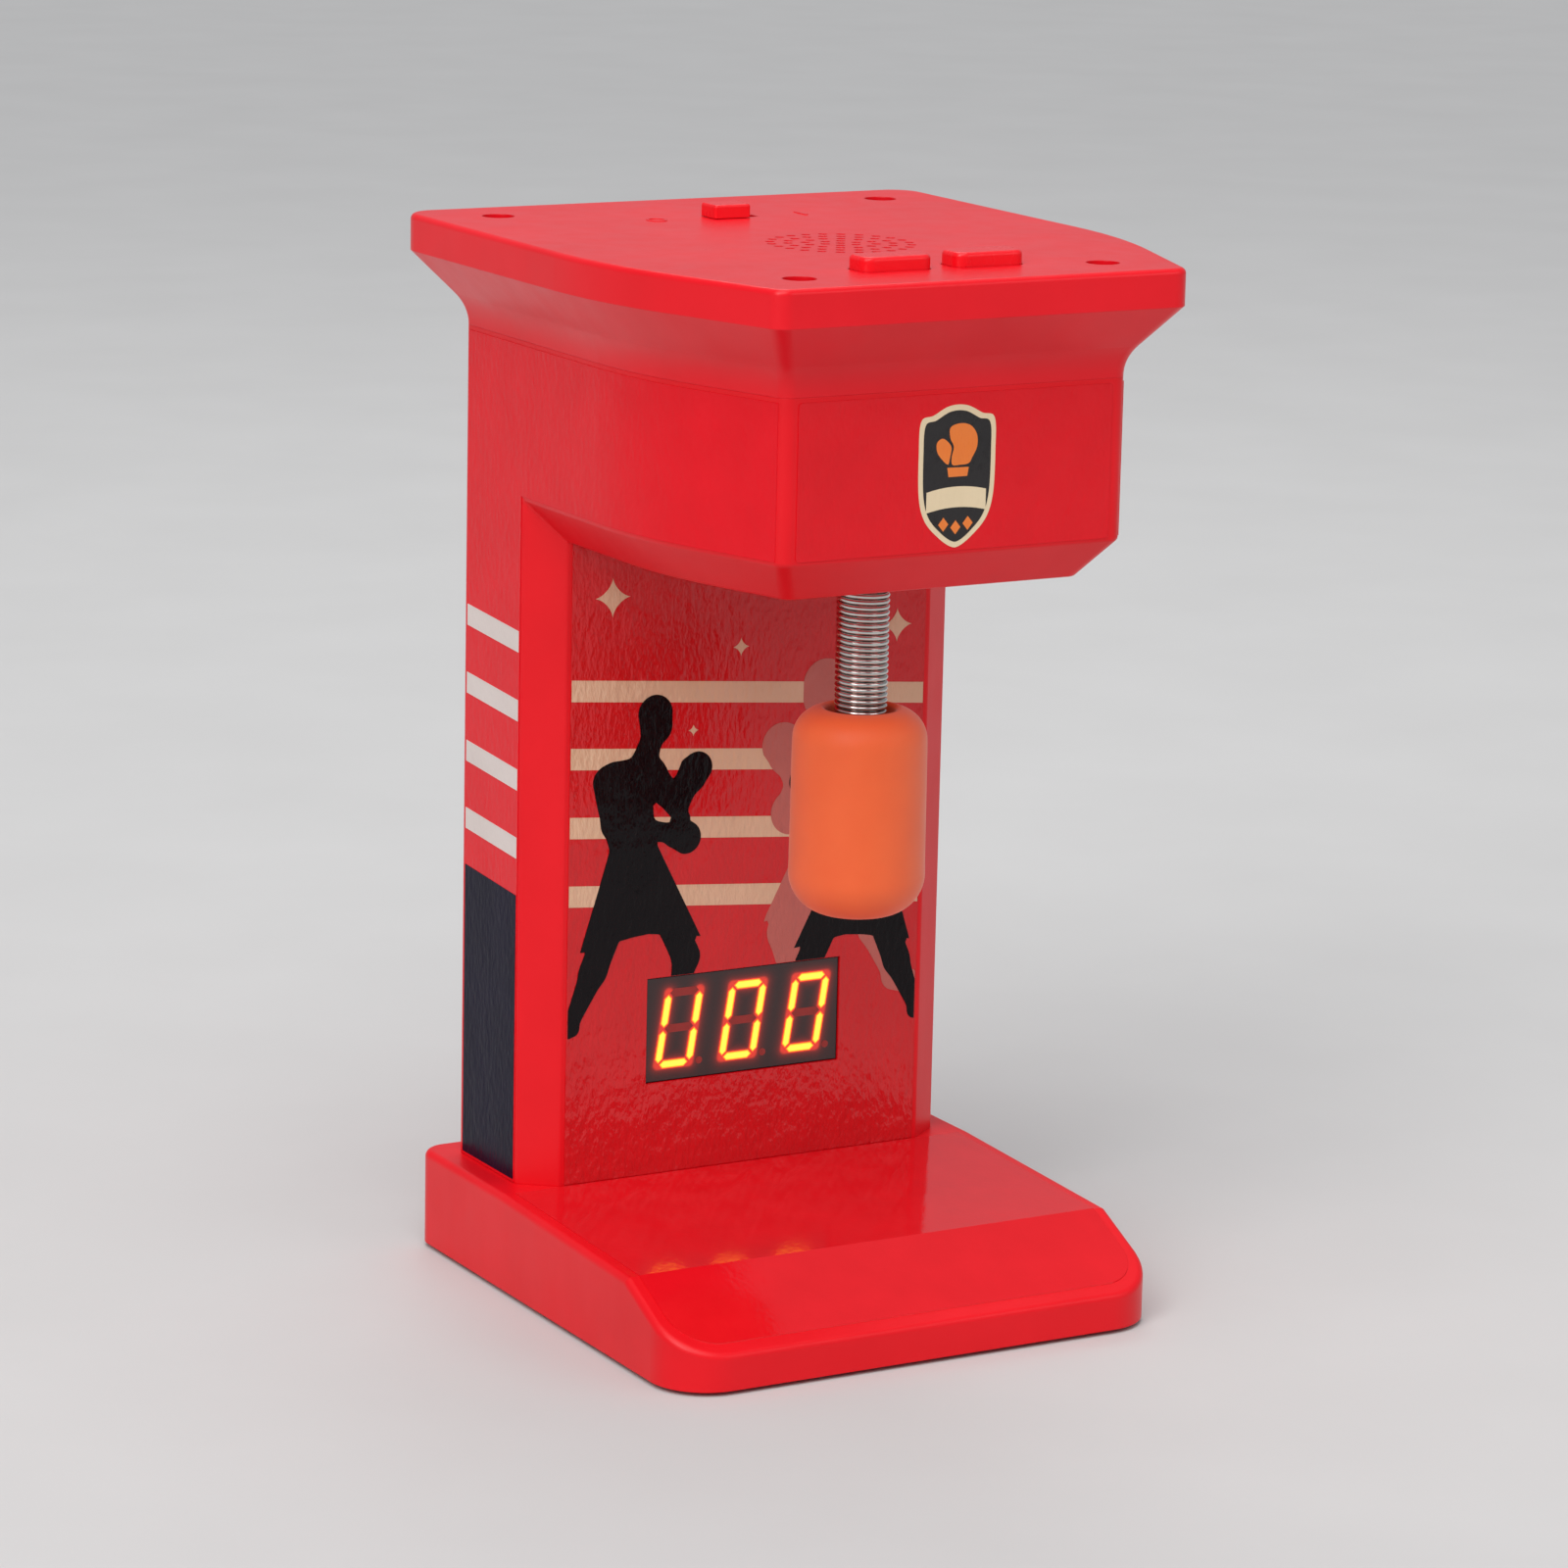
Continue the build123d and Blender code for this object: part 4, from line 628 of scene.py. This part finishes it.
# Each limb is (x, z, radius) at one end and at the other, in millimetres on the panel.
# The head is a plain oval, two fifteenths of a standing figure's height, over level shoulders.
boxerLook = {
    "head": [(-18.6, 100.3, 3.3, -18.4, 98.0, 3.1)],
    "neck": [(-19.4, 95.4, 2.1, -20.8, 91.6, 2.6)],
    "torso": [(-26.0, 89.4, 3.1, -19.8, 89.4, 3.5), (-24.2, 86.4, 5.2, -22.8, 78.0, 4.5)],
    "rearArm": [(-27.6, 89.0, 2.9, -26.4, 81.8, 2.3), (-26.4, 81.2, 2.2, -16.8, 79.2, 1.7)],
    "frontArm": [(-18.8, 88.8, 2.8, -14.0, 83.8, 2.1), (-14.0, 83.8, 2.0, -11.6, 86.8, 1.6)],
    "gloves": [(-10.9, 88.4, 2.5, -10.2, 90.0, 2.9), (-14.2, 78.5, 2.4, -12.2, 77.8, 2.9)],
    "thumbs": [(-13.2, 88.8, 1.1, -12.5, 90.8, 0.9), (-14.0, 81.2, 0.9, -12.4, 81.4, 0.9)],
    "rearLeg": [(-26.8, 64.0, 3.0, -30.0, 55.6, 2.6), (-30.0, 55.6, 2.5, -34.0, 47.0, 1.4),
                (-34.0, 45.8, 1.4, -37.0, 44.6, 1.1)],
    "frontLeg": [(-15.2, 64.0, 3.0, -11.8, 56.4, 2.6), (-11.8, 56.4, 2.5, -13.6, 48.0, 1.6)],
}
# Each leg of the shorts is a limb and its hem, (x, z, tilt).
shortsLook = [((-22.8, 75.0, 4.6, -27.0, 57.0, 6.0), (-27.0, 60.2, 0.18)),
              ((-22.0, 75.0, 4.6, -13.8, 57.0, 5.6), (-14.2, 60.6, -0.14))]
joinSoftness = 0.34                             # how gently the limbs run into each other
figureLook = {
    "panel_boxer_left": dict(mirror=1.0, shift=(0.0, 0.0), swell=0.0, lift=0.11, ink=inkFigure,
                             low=(panelLow[0], 40.0), high=(0.5, 106.0)),
    "panel_boxer_right": dict(mirror=-1.0, shift=(0.8, -4.2), swell=0.0, lift=0.11, ink=inkFigure,
                              low=(-2.0, 36.0), high=(panelHigh[0], 104.0)),
    "panel_boxer_shadow": dict(mirror=-1.0, shift=(-3.6, 2.6), swell=1.1, lift=0.08, ink=inkShadow,
                               low=(-4.0, 40.0), high=(panelHigh[0], 114.0)),
}


def boxerField(p, mirror, shift, swell):
    # Soft union of the limbs; the legs of the shorts are cut straight at their hems.
    q = (p - np.array(shift)) * (mirror, 1.0)
    body = [taperedLimb(q, limb) for limbs in boxerLook.values() for limb in limbs]
    cloth = [
        np.maximum(taperedLimb(q, limb), z - q[..., 1] + (q[..., 0] - x) * tilt)
        for limb, (x, z, tilt) in shortsLook
    ]
    return np.minimum(melted(body, joinSoftness), melted(cloth, joinSoftness)) - swell


def boxers():
    for name, look in figureLook.items():
        def outline(p):
            boxer = boxerField(p, look["mirror"], look["shift"], look["swell"])
            return np.maximum(boxer, onPanel(p))

        figure = inkedField(name, outline, look["low"], look["high"], panelLook["cell"], panel,
                            0.0, look["lift"], look["ink"])
        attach(figure, "cabinet")


boxers()

# Each sparkle is (x, z, reach of its points).
sparkleLook = {
    "stars": [(-27.2, 121.2, 3.4), (-2.0, 110.7, 1.6), (-11.1, 96.7, 1.0), (29.2, 112.2, 3.0),
              (14.6, 124.4, 1.2)],
    "lift": 0.07,
}


def sparkles():
    # Four-pointed stars: x = s cos^3 t, z = s sin^3 t.
    t = np.linspace(0, 2 * math.pi, 64, endpoint=False)
    star = np.stack([np.cos(t) ** 3, np.sin(t) ** 3], axis=-1)
    shapes = [star * size + (x, z) for x, z, size in sparkleLook["stars"]]
    stars = prisms("panel_sparkles", shapes, panel, 0.0, sparkleLook["lift"], inkRope)
    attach(stars, "cabinet")


sparkles()
print("panel printed")


# Side prints: four pale bands over a dark block, on both sides

sideLook = {
    "tops": (116.8, 104.8, 92.7, 80.7),     # top of each band, at the back
    "height": 3.7,
    "slope": 0.067,         # bands and block fall towards the front
    "blockTop": 70.5,
    "blockBottom": 0.5,
    "front": 5.7,           # behind the panel, clear of the bevel beside it
    "backInset": 0.5,
    "lift": 0.06,
}


def sidePrints():
    pale = printedVinyl("ink_pale", (0.66, 0.56, 0.52), (0.76, 0.66, 0.62), wave=0.3,
                        rough=(0.16, 0.28), gloss=0.2)
    dark = printedVinyl("ink_navy", (0.004, 0.003, 0.012), (0.009, 0.006, 0.024), wave=0.3,
                        rough=(0.16, 0.28), gloss=0.08)
    for name, sign in (("left", -1), ("right", 1)):
        low, high = (np.array(corner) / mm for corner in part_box(f"side_sticker_{name}"))
        outer = max(abs(low[0]), abs(high[0]))
        face = Surface((sign * outer, 0, 0), (0, 1, 0), (0, 0, 1), (sign, 0, 0))
        front, back = panelLow[1] + sideLook["front"], high[1] - sideLook["backInset"]
        rise = sideLook["slope"] * (back - front)
        bands = [slantedBand(front, back, top - rise, sideLook["height"], rise)
                 for top in sideLook["tops"]]
        floor, top = low[2] + sideLook["blockBottom"], sideLook["blockTop"]
        block = [np.array([(front, floor), (back, floor), (back, top), (front, top - rise)])]
        for label, shapes, ink in (("bands", bands, pale), ("block", block, dark)):
            film = prisms(f"side_{label}_{name}", shapes, face, 0.0, sideLook["lift"], ink)
            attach(film, "cabinet")


sidePrints()
print("sides printed")


# Emblem on the head: a plain shield with a glove, a blank band and three diamonds

emblemLook = {
    "middle": 150.9,
    # right half of the shield, from its top to its tip, measured from the middle
    "shield": [(1.6, 11.6), (4.6, 10.2), (6.9, 9.3), (7.2, 4.0), (7.0, -3.0), (5.8, -7.0),
               (3.2, -9.8), (0.8, -11.4)],
    "border": (0.88, 0.92),                 # black field as a share of the shield
    "band": {"z": 146.9, "halfWidth": 5.6, "height": 3.4, "bow": 0.7},
    "diamonds": {"z": 142.6, "x": (-2.3, 0.0, 2.3), "half": (0.95, 1.15), "bow": 0.25},
    "glove": {"at": (-0.1, 155.3), "size": 0.86},
    "fist": [(-1.5, 4.3), (0.6, 5.0), (2.9, 4.5), (4.3, 2.7), (4.4, 0.4), (3.4, -1.6), (2.6, -2.7),
             (0.6, -2.9), (-0.9, -2.8), (-1.1, -1.4), (-0.7, 0.6), (-1.5, 2.3)],
    "thumb": [(-1.9, 1.5), (-3.2, 2.3), (-4.4, 1.5), (-4.3, -0.2), (-3.2, -1.7), (-1.9, -2.7),
              (-1.5, -1.5), (-1.2, 0.4)],
    "cuff": [(-2.0, -3.3), (2.7, -3.4), (2.4, -5.1), (-1.7, -5.1)],
    "lifts": (0.05, 0.08, 0.11),            # border, black field, and what lies on it
}


def mirrored(points):
    # A closed outline from its right half, which runs from the top to the bottom.
    half = np.asarray(points, float)
    return np.vstack([half, (half * (-1, 1))[::-1]])


def emblem():
    cream = printedVinyl("ink_emblem_cream", (0.74, 0.58, 0.36), (0.82, 0.66, 0.44), wave=0.4)
    black = printedVinyl("ink_emblem_black", (0.008, 0.007, 0.008), (0.02, 0.016, 0.016),
                         wave=0.4)
    orange = printedVinyl("ink_emblem_orange", (0.78, 0.16, 0.02), (0.86, 0.24, 0.04), wave=0.4)
    centre = np.array((0.0, emblemLook["middle"]))
    shield = flowing(mirrored(emblemLook["shield"]) + centre, 8)
    inner = (shield - centre) * emblemLook["border"] + centre
    look = emblemLook["band"]
    blade = np.linspace(-1, 1, 25)
    top = look["z"] + look["height"] / 2 + look["bow"] * (1 - blade ** 2)
    arch = np.stack([blade * look["halfWidth"], top], axis=-1)
    band = np.vstack([arch, (arch - (0, look["height"]))[::-1]])
    look = emblemLook["diamonds"]
    diamond = np.array([(0, 1), (1, 0), (0, -1), (-1, 0)]) * look["half"]
    diamonds = [diamond + (x, look["z"] + abs(x) * look["bow"]) for x in look["x"]]
    look = emblemLook["glove"]
    outlines = [flowing(emblemLook["fist"]), flowing(emblemLook["thumb"]),
                np.array(emblemLook["cuff"])]
    glove = [outline * look["size"] + look["at"] for outline in outlines]
    borderLift, fieldLift, markLift = emblemLook["lifts"]
    pieces = [
        prisms("emblem_border", [shield], headFront, 0.0, borderLift, cream),
        prisms("emblem_shield", [inner], headFront, 0.0, fieldLift, black),
        prisms("emblem_band", [band], headFront, 0.0, markLift, cream),
        prisms("emblem_diamonds", diamonds, headFront, 0.0, markLift, orange),
        prisms("emblem_glove", glove, headFront, 0.0, markLift, orange),
    ]
    for piece in pieces:
        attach(piece, "cabinet")


emblem()
print("emblem made")


# Marks beside the power slider: a bar for on and a ring for off

markLook = {"on": 13.6, "off": -14.6, "size": 2.1, "stroke": 0.55, "rise": 0.12, "sunk": 0.05,
            "ringShape": (0.85, 1.0), "cell": 0.14}


def powerMarks():
    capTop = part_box("cap")[1].z / mm
    low, high = (np.array(corner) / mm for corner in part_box("power_knob"))
    middle = (low[1] + high[1]) / 2
    top = Surface((0, middle, capTop), (1, 0, 0), (0, 1, 0), (0, 0, 1))
    size, stroke = markLook["size"], markLook["stroke"]

    def marks(p):
        on, off = markLook["on"], markLook["off"]
        bar = blockField(p, (on - stroke / 2, -size), (on + stroke / 2, size))
        away = np.linalg.norm((p - (off, 0)) / markLook["ringShape"], axis=-1)
        return np.minimum(bar, np.abs(away - size + stroke / 2) - stroke / 2)

    low, high = (markLook["off"] - 3, -3), (markLook["on"] + 2, 3)
    piece = inkedField("power_marks", marks, low, high, markLook["cell"], top,
                       -markLook["sunk"], markLook["rise"], finishes["cap_plastic"])
    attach(piece, "cabinet")


powerMarks()
print("power marks made")


# Display: a dark face with the glow round the lit segments, and the segments on it

digitLook = {
    "height": 14.2,
    "width": 7.6,
    "pitch": 12.7,
    "slant": 9.0,           # degrees
    "stroke": 1.45,
    "gap": 0.25,            # each end of a segment to the corner of its digit
    "point": 1.3,           # decimal point's diameter, and its distance from the digit
    "glowReach": 0.85,
    "faceGrid": (128, 62),
    "faceInset": 0.05,
    "faceLift": 0.04,
    "litLift": 0.12,
    "unlitLift": 0.10,
}
halfH = (digitLook["height"] - digitLook["stroke"]) / 2
halfW = (digitLook["width"] - digitLook["stroke"]) / 2
lean = math.tan(math.radians(digitLook["slant"]))
bars = {
    "a": (-halfW, halfH, halfW, halfH),
    "b": (halfW, 0, halfW, halfH),
    "c": (halfW, -halfH, halfW, 0),
    "d": (-halfW, -halfH, halfW, -halfH),
    "e": (-halfW, -halfH, -halfW, 0),
    "f": (-halfW, 0, -halfW, halfH),
    "g": (-halfW, 0, halfW, 0),
}
litBars = ("bcdef", "abcdef", "abcdef")


def leaned(points, centre, middle):
    # A digit's upright outline, leaned over and put in its place.
    points = np.asarray(points, float)
    return np.stack([points[:, 0] + points[:, 1] * lean + centre, points[:, 1] + middle], axis=-1)


def barOutline(bar, inset):
    # Six corners of a pointed segment, drawn in by inset.
    a, b = np.array(bar[:2], float), np.array(bar[2:], float)
    length = np.linalg.norm(b - a)
    along = (b - a) / length
    side = np.array((-along[1], along[0]))
    reach = digitLook["stroke"] / 2 - inset
    start, stop = digitLook["gap"] + inset * 1.3, length - digitLook["gap"] - inset * 1.3
    runs = [(start, 0), (start + reach, 1), (stop - reach, 1), (stop, 0), (stop - reach, -1),
            (start + reach, -1)]
    return np.array([a + along * run + side * hand * reach for run, hand in runs])


def segmentsMesh(name, chosen, middle, surface, lift, material):
    # Each segment is a low six-sided boss: its rim carries core 0 and its inner outline core 1.
    rings = ((0.0, 0.0, 0.0), (0.0, lift, 0.0), (0.30, lift, 0.75), (0.52, lift, 1.0))
    points, faces, core = [], [], []
    for centre, keys in chosen:
        for key in keys:
            count = len(core)
            for inset, height, warm in rings:
                outline = leaned(barOutline(bars[key], inset), centre, middle)
                points.append(surface.at(outline, height))
                core += [warm] * 6
            faces += (gridFaces(len(rings), 6)[:, ::-1] + count).tolist()
            faces.append([count + 18 + i for i in range(6)])
            faces.append([count + i for i in range(6)][::-1])
    piece = addMesh(name, np.vstack(points), faces, material, smooth=False)
    attribute = piece.data.attributes.new("core", "FLOAT", "POINT")
    attribute.data.foreach_set("value", np.array(core, np.float32))
    return piece


def litSegment():
    # Lit segment: yellow along the middle, orange-red at the rim.
    finish = Finish("display_lit", **{"Emission Strength": 2.6, "Roughness": 0.35})
    stops = [(0.0, (1.0, 0.05, 0.006)), (0.45, (1.0, 0.24, 0.012)), (1.0, (1.0, 0.50, 0.035))]
    glow = finish.ramp(finish.reading("core"), stops)
    speck = finish.noise(0.5, 2.0)
    return finish.shade(Base_Color=finish.tint(speck, (0.5, 0.03, 0.01), (0.6, 0.06, 0.02)),
                        Emission_Color=glow)


def darkSegment():
    # Unlit segment: a dim red diffuser that catches a little of its neighbours' light.
    finish = Finish("display_dark", **{"Emission Strength": 0.10, "Roughness": 0.4})
    speck = finish.noise(0.7, 2.0)
    return finish.shade(Base_Color=finish.tint(speck, (0.16, 0.014, 0.012), (0.22, 0.022, 0.018)),
                        Emission_Color=finish.tint(speck, (0.7, 0.03, 0.02), (0.9, 0.05, 0.03)))


def glowingFace():
    # Red-black face: emission falls off with the distance to the nearest lit segment.
    finish = Finish("display_glow", **{"Emission Strength": 1.0, "Coat Weight": 0.3,
                                       "Coat Roughness": 0.1, "Roughness": 0.25})
    glow = finish.reading("glow") ** 1.5
    stops = [(0.0, (0.004, 0.0004, 0.0003)), (0.5, (0.16, 0.005, 0.003)),
             (1.0, (0.75, 0.03, 0.012))]
    return finish.shade(
        Base_Color=finish.tint(finish.noise(4.0), (0.012, 0.002, 0.002), (0.022, 0.004, 0.004)),
        Emission_Color=finish.ramp(glow, stops),
    )


def display():
    low, high = windowLow, windowHigh
    middle = (low[2] + high[2]) / 2
    face = Surface((0, low[1], 0), (1, 0, 0), (0, 0, 1), (0, -1, 0))
    centres = [(n - 1) * digitLook["pitch"] for n in range(3)]
    lit = [(centre, keys) for centre, keys in zip(centres, litBars)]
    dark = [(centre, [key for key in bars if key not in keys]) for centre, keys in lit]
    lines = np.array([
        leaned(np.reshape(bars[key], (2, 2)), centre, middle).reshape(-1)
        for centre, keys in lit for key in keys
    ])
    inset, (wide, tall) = digitLook["faceInset"], digitLook["faceGrid"]
    xs = np.linspace(low[0] + inset, high[0] - inset, wide)
    zs = np.linspace(low[2] + inset, high[2] - inset, tall)
    grid = np.stack(np.meshgrid(xs, zs, indexing="ij"), axis=-1).reshape(-1, 1, 2)
    start, run = lines[None, :, :2], lines[None, :, 2:] - lines[None, :, :2]
    t = np.clip(np.sum((grid - start) * run, axis=-1) / np.sum(run * run, axis=-1), 0, 1)
    away = np.linalg.norm(grid - start - t[..., None] * run, axis=-1).min(axis=1)
    glow = np.exp(-np.maximum(away - digitLook["stroke"] / 2, 0) / digitLook["glowReach"])
    quads = gridFaces(len(xs), len(zs), wrap=False)
    spots = face.at(grid[:, 0, :], digitLook["faceLift"])
    sheet = addMesh("display_front", spots, quads.tolist(), glowingFace())
    attribute = sheet.data.attributes.new("glow", "FLOAT", "POINT")
    attribute.data.foreach_set("value", glow.astype(np.float32))
    segments = segmentsMesh("display_digits", lit, middle, face, digitLook["litLift"],
                            litSegment())
    dimmed = segmentsMesh("display_unlit", dark, middle, face, digitLook["unlitLift"],
                          darkSegment())
    pointX = digitLook["width"] / 2 + digitLook["point"] - halfH * lean
    turn = np.linspace(0, 2 * math.pi, 28, endpoint=False)
    dot = np.stack([np.cos(turn), np.sin(turn)], axis=-1) * digitLook["point"] / 2
    dots = [dot + (centre + pointX, middle - halfH) for centre in centres]
    points = prisms("display_points", dots, face, 0.0, digitLook["unlitLift"],
                    dimmed.data.materials[0])
    for piece, slotName in ((sheet, "display_face"), (segments, "display_lit"),
                            (dimmed, "display_dark"), (points, "display_dark")):
        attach(piece, "cabinet")
    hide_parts("display_segments_lit")
    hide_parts("display_segments_dark")


display()
print("display made")


# Floor, light and camera

floorLook = {"half": 6000.0, "deep": (0.56, 0.55, 0.54), "light": (0.61, 0.60, 0.59)}


def stageFloor():
    finish = Finish("floor_paper", Roughness=0.85)
    tone = finish.noise(60.0, 4.0)
    finish.shade(Base_Color=finish.tint(tone, floorLook["deep"], floorLook["light"]),
                 Normal=finish.relief(finish.noise(0.8, 3.0), 0.02))
    half = floorLook["half"]
    corners = [(-half, -half, 0), (half, -half, 0), (half, half, 0), (-half, half, 0)]
    floor = addMesh("floor", corners, [[0, 1, 2, 3]], finish.material, smooth=False)


lamps = {
    "key": dict(at=(-0.95, -0.55, 0.75), size=(0.5, 0.7), power=4.6),
    "fill": dict(at=(0.75, -1.05, 0.75), size=(0.9, 0.5), power=2.0),
    "over": dict(at=(0.15, 0.05, 1.10), size=(0.7, 0.7), power=1.6),
    "rear": dict(at=(0.35, 0.75, 1.05), size=(0.5, 0.5), power=2.0),
}
skyLook = {"sun": 1.8, "spread": 55.0, "at": (-0.6, -0.7, 1.4), "tint": (0.82, 0.86, 0.92, 1),
           "strength": 0.38}


def softLights():
    target = (Vector(cadBox[0]) + Vector(cadBox[1])) / 2
    for name, lamp in lamps.items():
        data = bpy.data.lights.new(name, "AREA")
        data.shape = "RECTANGLE"
        data.size, data.size_y = lamp["size"]
        data.energy = lamp["power"]
        light = bpy.data.objects.new(name, data)
        light.location = lamp["at"]
        light.rotation_euler = (target - light.location).to_track_quat("-Z", "Y").to_euler()
        bpy.context.scene.collection.objects.link(light)
    data = bpy.data.lights.new("sky", "SUN")
    data.energy = skyLook["sun"]
    data.angle = math.radians(skyLook["spread"])
    sky = bpy.data.objects.new("sky", data)
    sky.rotation_euler = (-Vector(skyLook["at"])).to_track_quat("-Z", "Y").to_euler()
    bpy.context.scene.collection.objects.link(sky)
    world = bpy.data.worlds.new("studio")
    world.use_nodes = True
    background = world.node_tree.nodes["Background"]
    background.inputs[0].default_value = skyLook["tint"]
    background.inputs[1].default_value = skyLook["strength"]
    bpy.context.scene.world = world
    bpy.context.scene.view_settings.view_transform = "Standard"


cameraLook = {"azimuth": -29.56, "elevation": 12.688, "roll": 1.268, "lens": 130.03,
              "sensor": 36.0, "at": (-0.46894, -0.82007, 0.30278)}


def standCamera():
    azimuth = math.radians(cameraLook["azimuth"])
    elevation = math.radians(cameraLook["elevation"])
    roll = math.radians(cameraLook["roll"])
    back = Vector((math.sin(azimuth) * math.cos(elevation),
                   -math.cos(azimuth) * math.cos(elevation), math.sin(elevation)))
    right = Vector((math.cos(azimuth), math.sin(azimuth), 0))
    up = back.cross(right)
    rolledRight = right * math.cos(roll) + up * math.sin(roll)
    rolledUp = up * math.cos(roll) - right * math.sin(roll)
    turn = Matrix((rolledRight, rolledUp, back)).transposed().to_4x4()
    data = bpy.data.cameras.new("camera")
    data.lens = cameraLook["lens"]
    data.sensor_width = cameraLook["sensor"]
    data.clip_start, data.clip_end = 0.01, 60.0
    camera = bpy.data.objects.new("camera", data)
    camera.matrix_world = Matrix.Translation(cameraLook["at"]) @ turn
    bpy.context.scene.collection.objects.link(camera)
    bpy.context.scene.camera = camera


stageFloor()
softLights()
standCamera()
print("studio set")
